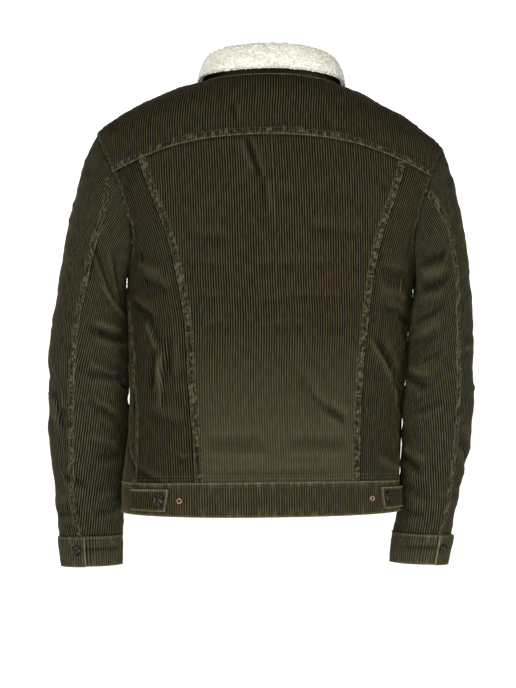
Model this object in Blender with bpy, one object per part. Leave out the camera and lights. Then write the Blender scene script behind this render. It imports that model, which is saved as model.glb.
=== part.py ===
"""Corduroy jacket with a sherpa collar and lining, in the shape it has when worn.

The wearer's back faces -Y, the wearer's right hand is at +X and +Z is up.
The origin is the middle of the neck base, between the shoulders.
Tables are in millimetres and degrees, and the meshes are made in metres.

A point of the body is told by its distance round the body from the centre back
(plus to the wearer's right) and its level (its height at the centre back).
A point of a sleeve is told by its clock angle (0 outside, 90 back, 180 inside,
270 front) and its way down the sleeve (0 at the armhole, 1 at the cuff seam).
"""

import bmesh
import bpy
import numpy as np

MM = 0.001
GAP = 0.35            # between the edges of two pieces at a seam
LAY = 0.4             # between a piece and one that lies on it
BODY_WALL = 5.0       # corduroy with its sherpa lining
SLEEVE_WALL = 3.0     # corduroy with a plain lining
BAND_WALL = 3.0       # doubled corduroy
BUTTON_RADIUS, CUFF_BUTTON_RADIUS = 8.5, 7.5
BUTTON_LEVEL, TAB_LEVEL = -568.0, -568.5
TAB_LENGTH, TAB_BUTTON, TAB_RING = 63.0, 50.0, 77.0   # along the waistband from its side seam
TURNED_SIDES = 16     # sides of a turned piece
SLEEVE_LENGTH = 580.0
SHERPA_WALL = 6.0
UNDER_COLLAR_WALL = 1.5

HEM = -592.0
BAND_TOP = -543.0
NECK = 23.0

# Body rings from the hem up: height at the centre back, the left side, the right side
# and the front, then the half width, depth to the back and to the front, exponent of
# the oval, middle in x, and turn of the ring about the vertical.
BODY = np.array([
    # back   left   right  front  half   deep_b deep_f power  mid_x  turn
    [-592.0, -590., -590., -590., 197.5, 117.0, 125.0, 2.40,  -6.5, 13.0],
    [-545.0, -548., -548., -548., 197.0, 115.0, 124.0, 2.40,  -6.0, 12.5],
    [-480.0, -480., -480., -480., 192.5, 111.0, 125.0, 2.40,  -3.0, 10.5],
    [-400.0, -400., -400., -400., 192.0, 112.0, 127.0, 2.35,   0.0,  8.0],
    [-320.0, -320., -320., -320., 197.0, 118.0, 129.0, 2.35,   4.0,  6.0],
    [-250.0, -250., -250., -250., 204.0, 124.0, 132.0, 2.40,   7.0,  3.0],
    [-205.0, -207., -209., -218., 212.0, 126.0, 133.0, 2.45,   8.0,  2.0],
    [-160.0, -163., -167., -192., 226.0, 125.0, 132.0, 2.55,   8.0,  1.5],
    [-115.0, -122., -129., -170., 240.0, 121.0, 129.0, 2.60,   7.5,  1.0],
    [-75.0,   -88.,  -99., -150., 245.0, 114.0, 124.0, 2.50,   6.5,  0.5],
    [-42.0,   -56.,  -76., -132., 242.0, 106.0, 119.0, 2.35,   6.0,  0.0],
    [-20.0,   -36.,  -57., -118., 220.0,  99.0, 113.0, 2.25,   7.0,  0.0],
    [-3.0,  -17.5,  -35.5, -103., 190.0,  91.0, 106.0, 2.20,   8.0,  0.0],
    [9.0,    -1.5,  -17.0,  -88., 155.0,  82.0,  97.0, 2.20,   8.0,  0.0],
    [17.0,    9.5,    0.0,  -75., 125.0,  74.0,  88.0, 2.20,   8.0,  0.0],
    [23.0,   17.0,   12.0,  -62.,  93.0,  66.0,  74.0, 2.20,   8.0,  0.0],
])

# Armhole, round its clock: angle round the body and level.
ARMHOLE = np.array([
    # clock  angle  level
    [0.0,    90.0,  -42.0],
    [30.0,   74.0,  -62.0],
    [60.0,   64.5, -104.0],
    [90.0,   62.5, -150.0],
    [120.0,  65.5, -200.0],
    [150.0,  75.5, -236.0],
    [180.0,  90.0, -250.0],
    [210.0, 104.5, -238.0],
    [240.0, 115.0, -202.0],
    [270.0, 119.0, -150.0],
    [300.0, 116.0,  -98.0],
    [330.0, 105.0,  -62.0],
])

# Seams of the back: distance from the centre back and level.
YOKE_SEAM = np.array([
    [0.0, -65.0], [45.0, -66.5], [90.0, -70.0], [130.0, -76.5], [175.0, -89.0],
    [230.0, -107.0],
])
# level, distance from the centre back
PANEL_SEAM = np.array([
    [-592.0, 117.0], [-545.0, 118.0], [-472.0, 120.0], [-427.0, 123.0], [-382.0, 126.0],
    [-320.0, 131.0], [-276.0, 137.0], [-228.0, 146.0], [-183.0, 159.0], [-137.0, 175.5],
    [-95.0, 188.5], [-60.0, 198.0],
])
# level, angle round the body
SIDE_SEAM = np.array([
    [-592.0, 73.5], [-545.0, 74.0], [-400.0, 79.0], [-300.0, 84.0], [-250.0, 90.0],
])

# Sleeve rings: way, outer and inner points in x and z, middle and half depth in y,
# exponent of the oval, clock angle of the back seam.
SLEEVE_LEFT = np.array([
    # way   out_x   out_z   in_x    in_z    mid_y  deep  power  seam
    [0.00, -236.0,  -56.0, -197.0, -250.0,   0.0, 66.0, 2.2,  62.1],
    [0.06, -253.0,  -90.0, -201.0, -272.0,  -2.0, 70.0, 2.2,  80.0],
    [0.13, -266.5, -134.0, -199.0, -297.0,  -3.0, 74.0, 2.2,  86.0],
    [0.21, -277.0, -180.0, -198.0, -325.0,  -3.0, 77.0, 2.2,  84.0],
    [0.31, -288.0, -238.0, -196.5, -357.0,  -3.0, 74.0, 2.2,  80.0],
    [0.41, -297.5, -297.0, -195.0, -392.0,  -2.0, 70.0, 2.2,  75.0],
    [0.51, -305.0, -354.0, -195.0, -424.0,   1.0, 66.0, 2.2,  76.0],
    [0.61, -309.5, -412.0, -195.5, -460.0,   6.0, 61.0, 2.2,  76.0],
    [0.71, -308.5, -470.0, -197.0, -498.0,  14.0, 57.0, 2.2,  75.0],
    [0.81, -305.0, -527.0, -200.0, -540.0,  24.0, 52.0, 2.2,  73.0],
    [0.91, -300.0, -583.0, -204.5, -585.0,  34.0, 47.0, 2.2,  70.0],
    [1.00, -296.0, -629.0, -207.0, -627.0,  42.0, 43.0, 2.2,  80.0],
])
SLEEVE_RIGHT = np.array([
    [0.00,  248.0,  -76.0,  211.0, -250.0,   0.0, 66.0, 2.2,  81.7],
    [0.06,  260.0, -108.0,  213.0, -272.0,  -1.0, 70.0, 2.2,  76.0],
    [0.13,  271.5, -148.0,  211.0, -297.0,  -1.0, 74.0, 2.2,  70.0],
    [0.21,  280.5, -192.0,  207.5, -325.0,   1.0, 76.0, 2.2,  68.0],
    [0.31,  287.5, -245.0,  204.5, -357.0,   3.0, 74.0, 2.2,  67.0],
    [0.41,  291.0, -302.0,  201.5, -392.0,   4.0, 70.0, 2.2,  66.0],
    [0.51,  293.5, -357.0,  196.0, -424.0,   7.0, 66.0, 2.2,  66.0],
    [0.61,  295.5, -412.0,  194.0, -460.0,  12.0, 61.0, 2.2,  67.0],
    [0.71,  293.5, -468.0,  193.0, -498.0,  20.0, 57.0, 2.2,  67.0],
    [0.81,  284.5, -524.0,  192.0, -540.0,  30.0, 52.0, 2.2,  63.0],
    [0.91,  275.0, -581.0,  191.0, -585.0,  40.0, 47.0, 2.2,  61.0],
    [1.00,  266.0, -627.0,  183.0, -624.0,  48.0, 43.0, 2.2,  63.0],
])
SLEEVES = {"left": SLEEVE_LEFT, "right": SLEEVE_RIGHT}
FRONT_SEAM = 280.0    # clock angle of the front seam of both sleeves
BLEND = 0.17          # part of the way over which the sleeve leaves the armhole's form

# Cuff rings: height below the cuff seam, growth of the ring, shift in x (left, right) and y.
CUFF = np.array([
    # down   grow   left_x right_x shift_y
    [0.0,    1.000,  0.0,   0.0,   0.0],
    [12.0,   1.005,  0.3,  -1.5,   0.8],
    [24.0,   0.990,  0.8,  -3.5,   1.6],
    [42.0,   0.960,  2.0,  -6.0,   2.6],
])
CUFF_END = {"left": 84.0, "right": 62.0}   # clock angle where the outer end of a cuff stops

# Collar, round the neck: how far out and up from the neck seam its stand, crest,
# fall and edge are.
COLLAR = np.array([
    # angle mid_r mid_z crest_r crest_z fall_r fall_z edge_r edge_z
    [0.0,   -3.0, 20.0,  4.0,   36.0,  13.0,  22.0,  14.5,   6.0],
    [40.0,  -5.0, 19.0,  0.5,   34.0,   9.0,  20.0,  11.5,   5.5],
    [65.0,  -8.0, 18.0, -5.0,   32.0,   3.5,  18.0,   7.5,   5.0],
    [90.0,  -9.0, 17.0, -6.5,   30.0,   1.0,  16.0,   3.5,   4.0],
    [125.0, -5.0, 13.0,  0.0,   25.0,  11.0,  12.0,  24.0,  -2.0],
    [150.0, -2.0, 11.0,  4.0,   20.0,  20.0,   6.0,  44.0, -24.0],
    [174.0, -1.0,  9.0,  5.0,   16.0,  23.0,   0.0,  52.0, -50.0],
])

# Largest folds of the body: from and to (distance, level), width, height.
BODY_FOLDS = [
    # from_s from_z   to_s   to_z   width  height
    (40.0,  -419.0,  100.0, -458.0, 13.0, -3.0),
    (-150., -512.0,  150.0, -512.0, 20.0,  4.0),
    (-165., -330.0, -168.0, -405.0, 12.0,  5.0),
    (190.0, -335.0,  232.0, -425.0, 14.0,  5.0),
    (-90.0, -268.0,  100.0, -284.0, 16.0, -2.5),
    (160.0, -300.0,  175.0, -520.0, 22.0,  3.0),
    (330.0, -300.0,  470.0, -350.0, 18.0, -3.0),
    (-330., -310.0, -460.0, -355.0, 18.0, -3.0),
]
# Largest folds of the sleeves: from and to (clock, way), width, height.
SLEEVE_FOLDS = {
    "left": [
        (100.0, 0.44, 165.0, 0.40, 11.0, -5.0),
        (95.0,  0.60, 160.0, 0.64, 11.0, -4.0),
        (20.0,  0.56,  60.0, 0.64, 11.0, -4.0),
        (190.0, 0.52, 300.0, 0.56, 13.0, -5.0),
        (200.0, 0.62, 290.0, 0.60, 12.0, -4.0),
    ],
    "right": [
        (100.0, 0.36, 160.0, 0.33, 11.0, -5.0),
        (90.0,  0.52, 160.0, 0.49, 11.0, -4.0),
        (80.0,  0.71, 165.0, 0.67, 12.0, -4.0),
        (190.0, 0.52, 300.0, 0.56, 13.0, -5.0),
        (200.0, 0.62, 290.0, 0.60, 12.0, -4.0),
    ],
}

CORDUROY = ("corduroy", (0.055, 0.045, 0.022), 0.9, 0.0)
SHERPA = ("sherpa", (0.82, 0.79, 0.70), 0.95, 0.0)
DARK_METAL = ("dark_metal", (0.06, 0.06, 0.06), 0.4, 1.0)
COPPER = ("copper", (0.50, 0.27, 0.18), 0.35, 1.0)


def smooth(table, column, at):
    """Read one column of a table at any value of its first column, by a smooth curve."""
    knots, values = table[:, 0], table[:, column]
    slopes = np.gradient(values, knots)
    at = np.clip(at, knots[0], knots[-1])
    i = np.clip(np.searchsorted(knots, at) - 1, 0, len(knots) - 2)
    width = knots[i + 1] - knots[i]
    u = (at - knots[i]) / width
    v = 1.0 - u
    rise = values[i] * (1 + 2 * u) * v * v + values[i + 1] * (1 + 2 * v) * u * u
    return rise + width * u * v * (slopes[i] * v - slopes[i + 1] * u)


def oval(angle, power):
    """Cosine and sine of an oval that is squarer than an ellipse."""
    c, s = np.cos(np.radians(angle)), np.sin(np.radians(angle))
    c = np.sign(c) * np.abs(c) ** (2.0 / power)
    s = np.sign(s) * np.abs(s) ** (2.0 / power)
    return c, s


def fold_height(u, v, folds, scale_u, scale_v):
    """Sum of soft ridges and troughs, each along a line, fading towards its ends."""
    total = np.zeros(np.broadcast(u, v).shape)
    for u0, v0, u1, v1, width, height in folds:
        du, dv = (u1 - u0) * scale_u, (v1 - v0) * scale_v
        pu, pv = (u - u0) * scale_u, (v - v0) * scale_v
        along = (pu * du + pv * dv) / (du * du + dv * dv)
        near = np.clip(along, 0.0, 1.0)
        away = np.hypot(pu - near * du, pv - near * dv)
        fade = np.clip(1.25 - 1.25 * np.abs(2 * near - 1) ** 3, 0.0, 1.0)
        total += height * fade * np.exp(-(away / width) ** 2)
    return total


def body_at(angle, level):
    """Outer surface of the body by angle round it and level, without folds."""
    left, right, front, half, deep_b, deep_f, power, mid_x, turn = (
        smooth(BODY, k, level) for k in range(1, 10))
    c, s = oval(angle, power)
    x, y = half * s, -np.where(c > 0, deep_b, deep_f) * c
    cc, ss = np.cos(np.radians(angle)), np.sin(np.radians(angle))
    z = np.where(cc > 0, level, front) * cc**2 + np.where(ss < 0, left, right) * ss**2
    turn = np.radians(turn)
    return np.stack([mid_x + x * np.cos(turn) - y * np.sin(turn),
                     x * np.sin(turn) + y * np.cos(turn), z], axis=-1)


LEVELS = np.linspace(HEM, NECK, 247)
ANGLES = np.linspace(0.0, 180.0, 361)


def measure_rings(sign):
    """Distance round the body from the centre back, for every level and angle."""
    ring = body_at(sign * ANGLES[None, :], LEVELS[:, None])
    steps = np.linalg.norm(np.diff(ring, axis=1), axis=2)
    return np.concatenate([np.zeros((len(LEVELS), 1)), np.cumsum(steps, axis=1)], axis=1)


ROUND = {1: measure_rings(1), -1: measure_rings(-1)}
SHARES = np.linspace(0.0, 1.0, 401)
ANGLE_OF_SHARE = {
    sign: np.array([np.interp(SHARES, row / row[-1], ANGLES) for row in rows])
    for sign, rows in ROUND.items()
}


def between_levels(rows, level, column):
    """Bilinear reading of a table that has a row for each of LEVELS."""
    at = np.clip((level - HEM) / (NECK - HEM), 0, 1) * (len(LEVELS) - 1)
    i = np.minimum(at.astype(int), len(LEVELS) - 2)
    j = np.minimum(column.astype(int), rows.shape[1] - 2)
    u, v = at - i, column - j
    low = rows[i, j] * (1 - v) + rows[i, j + 1] * v
    high = rows[i + 1, j] * (1 - v) + rows[i + 1, j + 1] * v
    return low * (1 - u) + high * u


def half_girth(sign, level):
    """Distance from the centre back to the centre front."""
    return np.interp(level, LEVELS, ROUND[sign][:, -1])


def distance_of(angle, level):
    """Distance from the centre back of the point at an angle and level."""
    angle, level = np.broadcast_arrays(np.asarray(angle, float), np.asarray(level, float))
    column = np.abs(angle) / 180.0 * (len(ANGLES) - 1)
    right = between_levels(ROUND[1], level, column)
    left = between_levels(ROUND[-1], level, column)
    return np.where(angle < 0, -left, right)


def angle_of(distance, level):
    """Angle of the point at a distance from the centre back; it may pass the front."""
    distance, level = np.broadcast_arrays(np.asarray(distance, float),
                                          np.asarray(level, float))
    share_r = distance / half_girth(1, level)
    share_l = -distance / half_girth(-1, level)
    columns = len(SHARES) - 1

    def look(sign, share):
        beyond = share > 1.0
        share = np.where(beyond, 2.0 - share, np.maximum(share, 0.0))
        angle = between_levels(ANGLE_OF_SHARE[sign], level, share * columns)
        return np.where(beyond, 360.0 - angle, angle)

    return np.where(distance < 0, -look(-1, share_l), look(1, share_r))


def body_point(distance, level, lift=0.0, folds=True):
    """Outer surface of the body and its normal, moved out by lift."""
    angle = angle_of(distance, level)
    up = np.minimum(level + 1.0, NECK)
    down = np.maximum(level - 1.0, HEM)
    across = body_at(angle + 0.4, level) - body_at(angle - 0.4, level)
    along = body_at(angle, up) - body_at(angle, down)
    normal = np.cross(across, along)
    normal /= np.linalg.norm(normal, axis=-1, keepdims=True)
    lift = lift + (fold_height(distance, level, BODY_FOLDS, 1.0, 1.0) if folds else 0.0)
    return body_at(angle, level) + normal * np.asarray(lift)[..., None], normal


def armhole_at(side, clock):
    """Angle round the body and level of the armhole at a clock angle."""
    table = np.vstack([ARMHOLE[-2:] - [360, 0, 0], ARMHOLE, ARMHOLE[:2] + [360, 0, 0]])
    clock = np.mod(clock, 360.0)
    sign = -1.0 if side == "left" else 1.0
    return sign * smooth(table, 1, clock), smooth(table, 2, clock)


def sleeve_ring(side, clock, way):
    """Sleeve surface from its table alone."""
    table = SLEEVES[side]
    out_x, out_z, in_x, in_z, mid_y, deep, power = (
        smooth(table, k, way) for k in range(1, 8))
    c, s = oval(clock, power)
    return np.stack([(out_x + in_x) / 2 + (out_x - in_x) / 2 * c,
                     mid_y - deep * s,
                     (out_z + in_z) / 2 + (out_z - in_z) / 2 * c], axis=-1)


def sleeve_at(side, clock, way):
    """Sleeve surface, starting in the armhole and easing into its table's rings."""
    clock, way = np.broadcast_arrays(np.asarray(clock, float), np.asarray(way, float))
    angle, level = armhole_at(side, clock)
    seam = body_at(angle, level)
    seam[..., 0] += -0.6 if side == "left" else 0.6
    ease = np.clip(1.0 - way / BLEND, 0.0, 1.0)[..., None]
    ease = ease * ease * (3 - 2 * ease)
    return sleeve_ring(side, clock, way) + ease * (seam - sleeve_ring(side, clock, 0.0))


def sleeve_point(side, clock, way, lift=0.0):
    """Outer surface of a sleeve and its normal, with folds, moved out by lift."""
    across = sleeve_at(side, clock + 1.0, way) - sleeve_at(side, clock - 1.0, way)
    along = (sleeve_at(side, clock, np.minimum(way + 0.003, 1.0))
             - sleeve_at(side, clock, np.maximum(way - 0.003, 0.0)))
    normal = np.cross(along, across) if side == "left" else np.cross(across, along)
    normal /= np.linalg.norm(normal, axis=-1, keepdims=True)
    folds = fold_height(np.mod(clock, 360.0), way, SLEEVE_FOLDS[side], 1.0, SLEEVE_LENGTH)
    lift = np.asarray(lift + folds)[..., None]
    return sleeve_at(side, clock, way) + normal * lift, normal


def hole_side(side, clock, depth):
    """Turn the depth of a sleeve's first edge so that it stays out of the body's edge."""
    def edge(clock):
        return body_at(*armhole_at(side, clock))

    angle, level = armhole_at(side, clock)
    normal = body_point(distance_of(angle, level), level)[1]
    inward = np.cross(normal, edge(clock + 1.0) - edge(clock - 1.0))
    middle = edge(np.arange(0.0, 360.0, 10.0)).mean(axis=0)
    facing = np.sign(((middle - edge(clock)) * inward).sum(axis=-1, keepdims=True))
    inward *= facing / np.linalg.norm(inward, axis=-1, keepdims=True)
    short = np.minimum((depth * inward).sum(axis=-1, keepdims=True), 0.0)
    return depth - short * inward


def cuff_point(side, clock, down, lift=0.0):
    """Outer surface of a cuff and its normal: the sleeve's last ring carried down."""
    middle = (sleeve_ring(side, 0.0, 1.0) + sleeve_ring(side, 180.0, 1.0)) / 2

    def at(clock, down):
        shift = np.stack([smooth(CUFF, 2 if side == "left" else 3, down),
                          smooth(CUFF, 4, down), -np.asarray(down, float)], axis=-1)
        ring = sleeve_ring(side, clock, 1.0)
        return middle + (ring - middle) * smooth(CUFF, 1, down)[..., None] + shift

    across = at(clock + 1.0, down) - at(clock - 1.0, down)
    along = at(clock, np.minimum(down + 1.0, 42.0)) - at(clock, np.maximum(down - 1.0, 0.0))
    normal = np.cross(along, across) if side == "left" else np.cross(across, along)
    normal /= np.linalg.norm(normal, axis=-1, keepdims=True)
    return at(clock, down) + normal * np.asarray(lift)[..., None], normal


def collar_point(angle, way, out):
    """Collar surface: way runs up the stand, over the crest and down the fall."""
    ring = body_at(angle, NECK)
    step = body_at(angle + 1.0, NECK) - body_at(angle - 1.0, NECK)
    across = np.stack([step[..., 1], -step[..., 0], 0 * step[..., 0]], axis=-1)
    across /= np.linalg.norm(across, axis=-1, keepdims=True)
    turn = np.abs(angle)
    r = [0 * turn] + [smooth(COLLAR, k, turn) for k in (1, 3, 5, 7)]
    base = 0.6 + 2.4 * np.clip((turn - 80.0) / 60.0, 0.0, 1.0)
    z = [base] + [smooth(COLLAR, k, turn) for k in (2, 4, 6, 8)]

    def path(at):
        knots = np.linspace(0.0, 1.0, 5)
        i = np.clip(np.searchsorted(knots, at) - 1, 0, 3)
        u = at * 4 - i
        spots = []
        for values in (r, z):
            values = np.stack(values)
            slopes = np.gradient(values, axis=0)
            low, high = np.take_along_axis(values, i[None], 0)[0], np.take_along_axis(
                values, i[None] + 1, 0)[0]
            a, b = np.take_along_axis(slopes, i[None], 0)[0], np.take_along_axis(
                slopes, i[None] + 1, 0)[0]
            v = 1 - u
            spots.append(low * (1 + 2 * u) * v * v + high * (1 + 2 * v) * u * u
                         + u * v * (a * v - b * u))
        return np.stack(spots)

    here = path(way)
    run = path(np.minimum(way + 0.01, 1.0)) - path(np.maximum(way - 0.01, 0.0))
    run /= np.linalg.norm(run, axis=0)
    spot = here + np.stack([-run[1], run[0]]) * out
    up = np.array([0.0, 0.0, 1.0])
    return ring + across * spot[0][..., None] + up * spot[1][..., None]


def material(kind):
    """Make or fetch the material of a piece."""
    name, colour, roughness, metallic = kind
    found = bpy.data.materials.get(name)
    if found:
        return found
    made = bpy.data.materials.new(name)
    made.use_nodes = True
    shader = made.node_tree.nodes["Principled BSDF"]
    shader.inputs["Base Color"].default_value = (*colour, 1.0)
    shader.inputs["Roughness"].default_value = roughness
    shader.inputs["Metallic"].default_value = metallic
    return made


def add_mesh(name, points, faces, kind):
    """Add one closed mesh, its points in millimetres."""
    mesh = bpy.data.meshes.new(name)
    mesh.from_pydata([tuple(p) for p in np.asarray(points) * MM], [], faces)
    mesh.materials.append(material(kind))
    thing = bpy.data.objects.new(name, mesh)
    COLLECTION.objects.link(thing)
    return thing


def add_wall(name, outer, inner, kind):
    """Close the space between two grids of points of the same size."""
    rows, columns = outer.shape[:2]
    size = rows * columns

    def at(side, i, j):
        return side * size + i * columns + j

    faces = []
    for i in range(rows - 1):
        for j in range(columns - 1):
            faces.append((at(0, i, j), at(0, i, j + 1), at(0, i + 1, j + 1), at(0, i + 1, j)))
            faces.append((at(1, i, j), at(1, i + 1, j), at(1, i + 1, j + 1), at(1, i, j + 1)))
    for i in range(rows - 1):
        for j, flip in ((0, False), (columns - 1, True)):
            strip = (at(0, i, j), at(0, i + 1, j), at(1, i + 1, j), at(1, i, j))
            faces.append(strip[::-1] if flip else strip)
    for j in range(columns - 1):
        for i, flip in ((0, True), (rows - 1, False)):
            strip = (at(0, i, j), at(0, i, j + 1), at(1, i, j + 1), at(1, i, j))
            faces.append(strip if flip else strip[::-1])
    points = np.concatenate([outer.reshape(-1, 3), inner.reshape(-1, 3)])
    thing = add_mesh(name, points, faces, kind)
    fix_normals(thing)
    return thing


def fix_normals(thing):
    """Turn every face outwards."""
    work = bmesh.new()
    work.from_mesh(thing.data)
    bmesh.ops.recalc_face_normals(work, faces=work.faces)
    work.to_mesh(thing.data)
    work.free()


def spread(points, count):
    """Share out count points evenly along a run of points."""
    points = np.asarray(points, float)
    steps = np.concatenate([[0.0], np.cumsum(np.hypot(*np.diff(points, axis=0).T))])
    at = np.linspace(0.0, steps[-1], count)
    return np.stack([np.interp(at, steps, points[:, k]) for k in range(2)], axis=-1)


def patch(bottom, top, start, end):
    """Grid of (distance, level) between four edges; start and end join bottom to top."""
    u = np.linspace(0.0, 1.0, len(bottom))[None, :, None]
    v = np.linspace(0.0, 1.0, len(start))[:, None, None]
    corners = ((1 - u) * (1 - v) * bottom[0] + u * (1 - v) * bottom[-1]
               + (1 - u) * v * top[0] + u * v * top[-1])
    return ((1 - v) * bottom[None] + v * top[None]
            + (1 - u) * start[:, None] + u * end[:, None] - corners)


def body_wall(name, grid, wall, kind, lift=0.0):
    """Wall of the body over a grid of (distance, level)."""
    outer, normal = body_point(grid[..., 0], grid[..., 1], lift)
    return add_wall(name, outer, outer - normal * wall, kind)


def armhole_line(side, clocks):
    """Armhole as (distance, level) at the given clock angles."""
    angle, level = armhole_at(side, np.asarray(clocks, float))
    return np.stack([distance_of(angle, level), level], axis=-1)


def yoke_level(distance):
    """Level of the yoke seam."""
    return smooth(YOKE_SEAM, 1, np.abs(distance))


def seam_line(sign, levels):
    """Slanted seam between the centre and side back panels."""
    return np.stack([sign * smooth(PANEL_SEAM, 1, levels), levels], axis=-1)


def side_line(sign, levels):
    """Side seam."""
    return np.stack([distance_of(sign * smooth(SIDE_SEAM, 1, levels), levels), levels], axis=-1)


def line(a, b, count):
    """Straight run of points."""
    return np.stack([np.linspace(a[k], b[k], count) for k in range(2)], axis=-1)


def inset(grid, amount):
    """Draw the four edges of a grid in, to leave the gap of its seams."""
    grid = grid.copy()
    for edge, inner in ((np.s_[0, :], np.s_[1, :]), (np.s_[-1, :], np.s_[-2, :]),
                        (np.s_[:, 0], np.s_[:, 1]), (np.s_[:, -1], np.s_[:, -2])):
        step = grid[inner] - grid[edge]
        size = np.linalg.norm(step, axis=-1, keepdims=True)
        grid[edge] += step / np.maximum(size, 1.0) * amount
    return grid


def yoke_end_clock(side):
    """Clock angle at which the yoke seam runs into the armhole."""
    clocks = np.linspace(20.0, 120.0, 401)
    run = armhole_line(side, clocks)
    over = run[:, 1] - yoke_level(run[:, 0])
    return float(np.interp(0.0, -over, clocks))


def armhole_stations():
    """Clock angles shared by the edges of the body's panels and the sleeve's first ring."""
    back = yoke_end_clock("left")
    return [np.linspace(0.0, back, 6), np.linspace(back, 180.0, 7),
            np.linspace(180.0, 360.0, 10)]


def make_back():
    """Yoke, centre panel and side panels."""
    over, under, _ = armhole_stations()
    start = armhole_line("left", over[::-1])
    end = armhole_line("right", over[::-1])
    across = np.linspace(start[0, 0], end[0, 0], 23)
    bottom = np.stack([across, yoke_level(across)], axis=-1)
    bottom[0], bottom[-1] = start[0], end[0]
    top = shoulder_and_neck(23)
    body_wall("back_yoke", inset(patch(bottom, top, start, end), GAP / 2), BODY_WALL, CORDUROY)

    meet = {sign: yoke_meets_seam(sign) for sign in (-1, 1)}
    levels = {sign: np.linspace(BAND_TOP, meet[sign][1], 18) for sign in (-1, 1)}
    across = np.linspace(meet[-1][0], meet[1][0], 15)
    top = np.stack([across, yoke_level(across)], axis=-1)
    low_s = smooth(PANEL_SEAM, 1, BAND_TOP)
    bottom = line((-low_s, BAND_TOP), (low_s, BAND_TOP), 15)
    grid = patch(bottom, top, seam_line(-1, levels[-1]), seam_line(1, levels[1]))
    body_wall("back_centre_panel", inset(grid, GAP / 2), BODY_WALL, CORDUROY)

    for sign, side in ((-1, "left"), (1, "right")):
        seam = seam_line(sign, levels[sign])
        below = side_line(sign, np.linspace(BAND_TOP, -250.0, 12))
        hole = armhole_line(side, under[::-1])
        edge = np.concatenate([below, hole[1:]])
        across = np.linspace(meet[sign][0], hole[-1][0], 6)
        top = np.stack([across, yoke_level(across)], axis=-1)
        top[-1] = hole[-1]
        bottom = line(seam[0], below[0], 6)
        grid = patch(bottom, top, seam, edge)
        body_wall("back_side_" + side, inset(grid, GAP / 2), BODY_WALL, CORDUROY)


def yoke_meets_seam(sign):
    """Where the slanted seam runs into the yoke seam."""
    levels = np.linspace(-140.0, -60.0, 321)
    run = seam_line(sign, levels)
    over = run[:, 1] - yoke_level(run[:, 0])
    level = float(np.interp(0.0, over, levels))
    return np.array([sign * float(smooth(PANEL_SEAM, 1, level)), level])


def shoulder_seam(side, count):
    """Seam along the top of the shoulder, from its point to the neck."""
    sign = -1.0 if side == "left" else 1.0
    levels = np.linspace(-42.0, NECK, 30)
    run = np.stack([distance_of(sign * 90.0 + 0 * levels, levels), levels], axis=-1)
    return spread(run, count)


def shoulder_and_neck(count):
    """Upper edge of the yoke: left shoulder seam, neck seam, right shoulder seam."""
    side = 7
    left, right = shoulder_seam("left", side), shoulder_seam("right", side)
    neck = line(left[-1], right[-1], count - 2 * (side - 1))
    return np.concatenate([left, neck[1:-1], right[::-1]])


def front_spot(sign, apart, level):
    """Point at a distance from the centre front, on one side."""
    return np.stack([sign * (half_girth(sign, level) - apart), level], axis=-1)


def front_grid(sign, columns):
    """Grid of a front panel: rows from the centre front to the side, armhole and shoulder."""
    low = np.linspace(BAND_TOP, -250.0, 12)
    side = np.stack([smooth(SIDE_SEAM, 1, low), low], axis=-1)
    hole = np.stack(armhole_at("right", armhole_stations()[2]), axis=-1)
    shoulder = line(hole[-1], (90.0, NECK), 6)
    edge = np.concatenate([side, hole[1:], shoulder[1:]])
    ends = (0, len(side) - 1, len(side) + len(hole) - 2, len(edge) - 1)
    levels = np.interp(np.arange(len(edge)), ends, (BAND_TOP, -300.0, -25.0, NECK))
    centre = np.stack([np.full(len(edge), 180.0), levels], axis=-1)
    share = np.linspace(0.0, 1.0, columns)[None, :, None]
    grid = centre[:, None] * (1 - share) + edge[:, None] * share
    return np.stack([distance_of(sign * grid[..., 0], grid[..., 1]), grid[..., 1]], axis=-1)


def make_front():
    """Two plain front panels, the button band on their lap, and its buttons."""
    for sign, side in ((-1, "left"), (1, "right")):
        grid = front_grid(sign, 10)
        body_wall("front_" + side, inset(grid, GAP / 2), BODY_WALL, CORDUROY)

    levels = front_grid(1, 2)[:, :1, 1].copy()
    levels[0] += 1.0
    levels[-1] -= 2.0
    apart = np.linspace(-18.0, 18.0, 5)[None, :]
    grid = front_spot(1, apart, levels + 0 * apart)
    body_wall("front_placket", grid, BAND_WALL, CORDUROY, LAY + BAND_WALL)
    spots = [(0.0, level) for level in (-20.0, -135.0, -250.0, -365.0, -480.0)]
    for n, (apart, level) in enumerate(spots, 1):
        spot = front_spot(1, apart, np.array(level))
        place_button(f"front_button_{n}", *body_point(spot[0], spot[1], LAY * 2 + BAND_WALL),
                     BUTTON_RADIUS, DARK_METAL)


def band_grid(distances, low, high, rows):
    """Grid over the waistband."""
    levels = np.linspace(low, high, rows)[:, None]
    return np.stack(np.broadcast_arrays(distances[None, :], levels), axis=-1)


def band_lift(distance):
    """How far out the waistband lies: its left end laps over its right end."""
    from_front = half_girth(-1, BAND_TOP) + distance
    return (BAND_WALL + LAY) * np.clip((75.0 - from_front) / 40.0, 0.0, 1.0)


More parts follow.
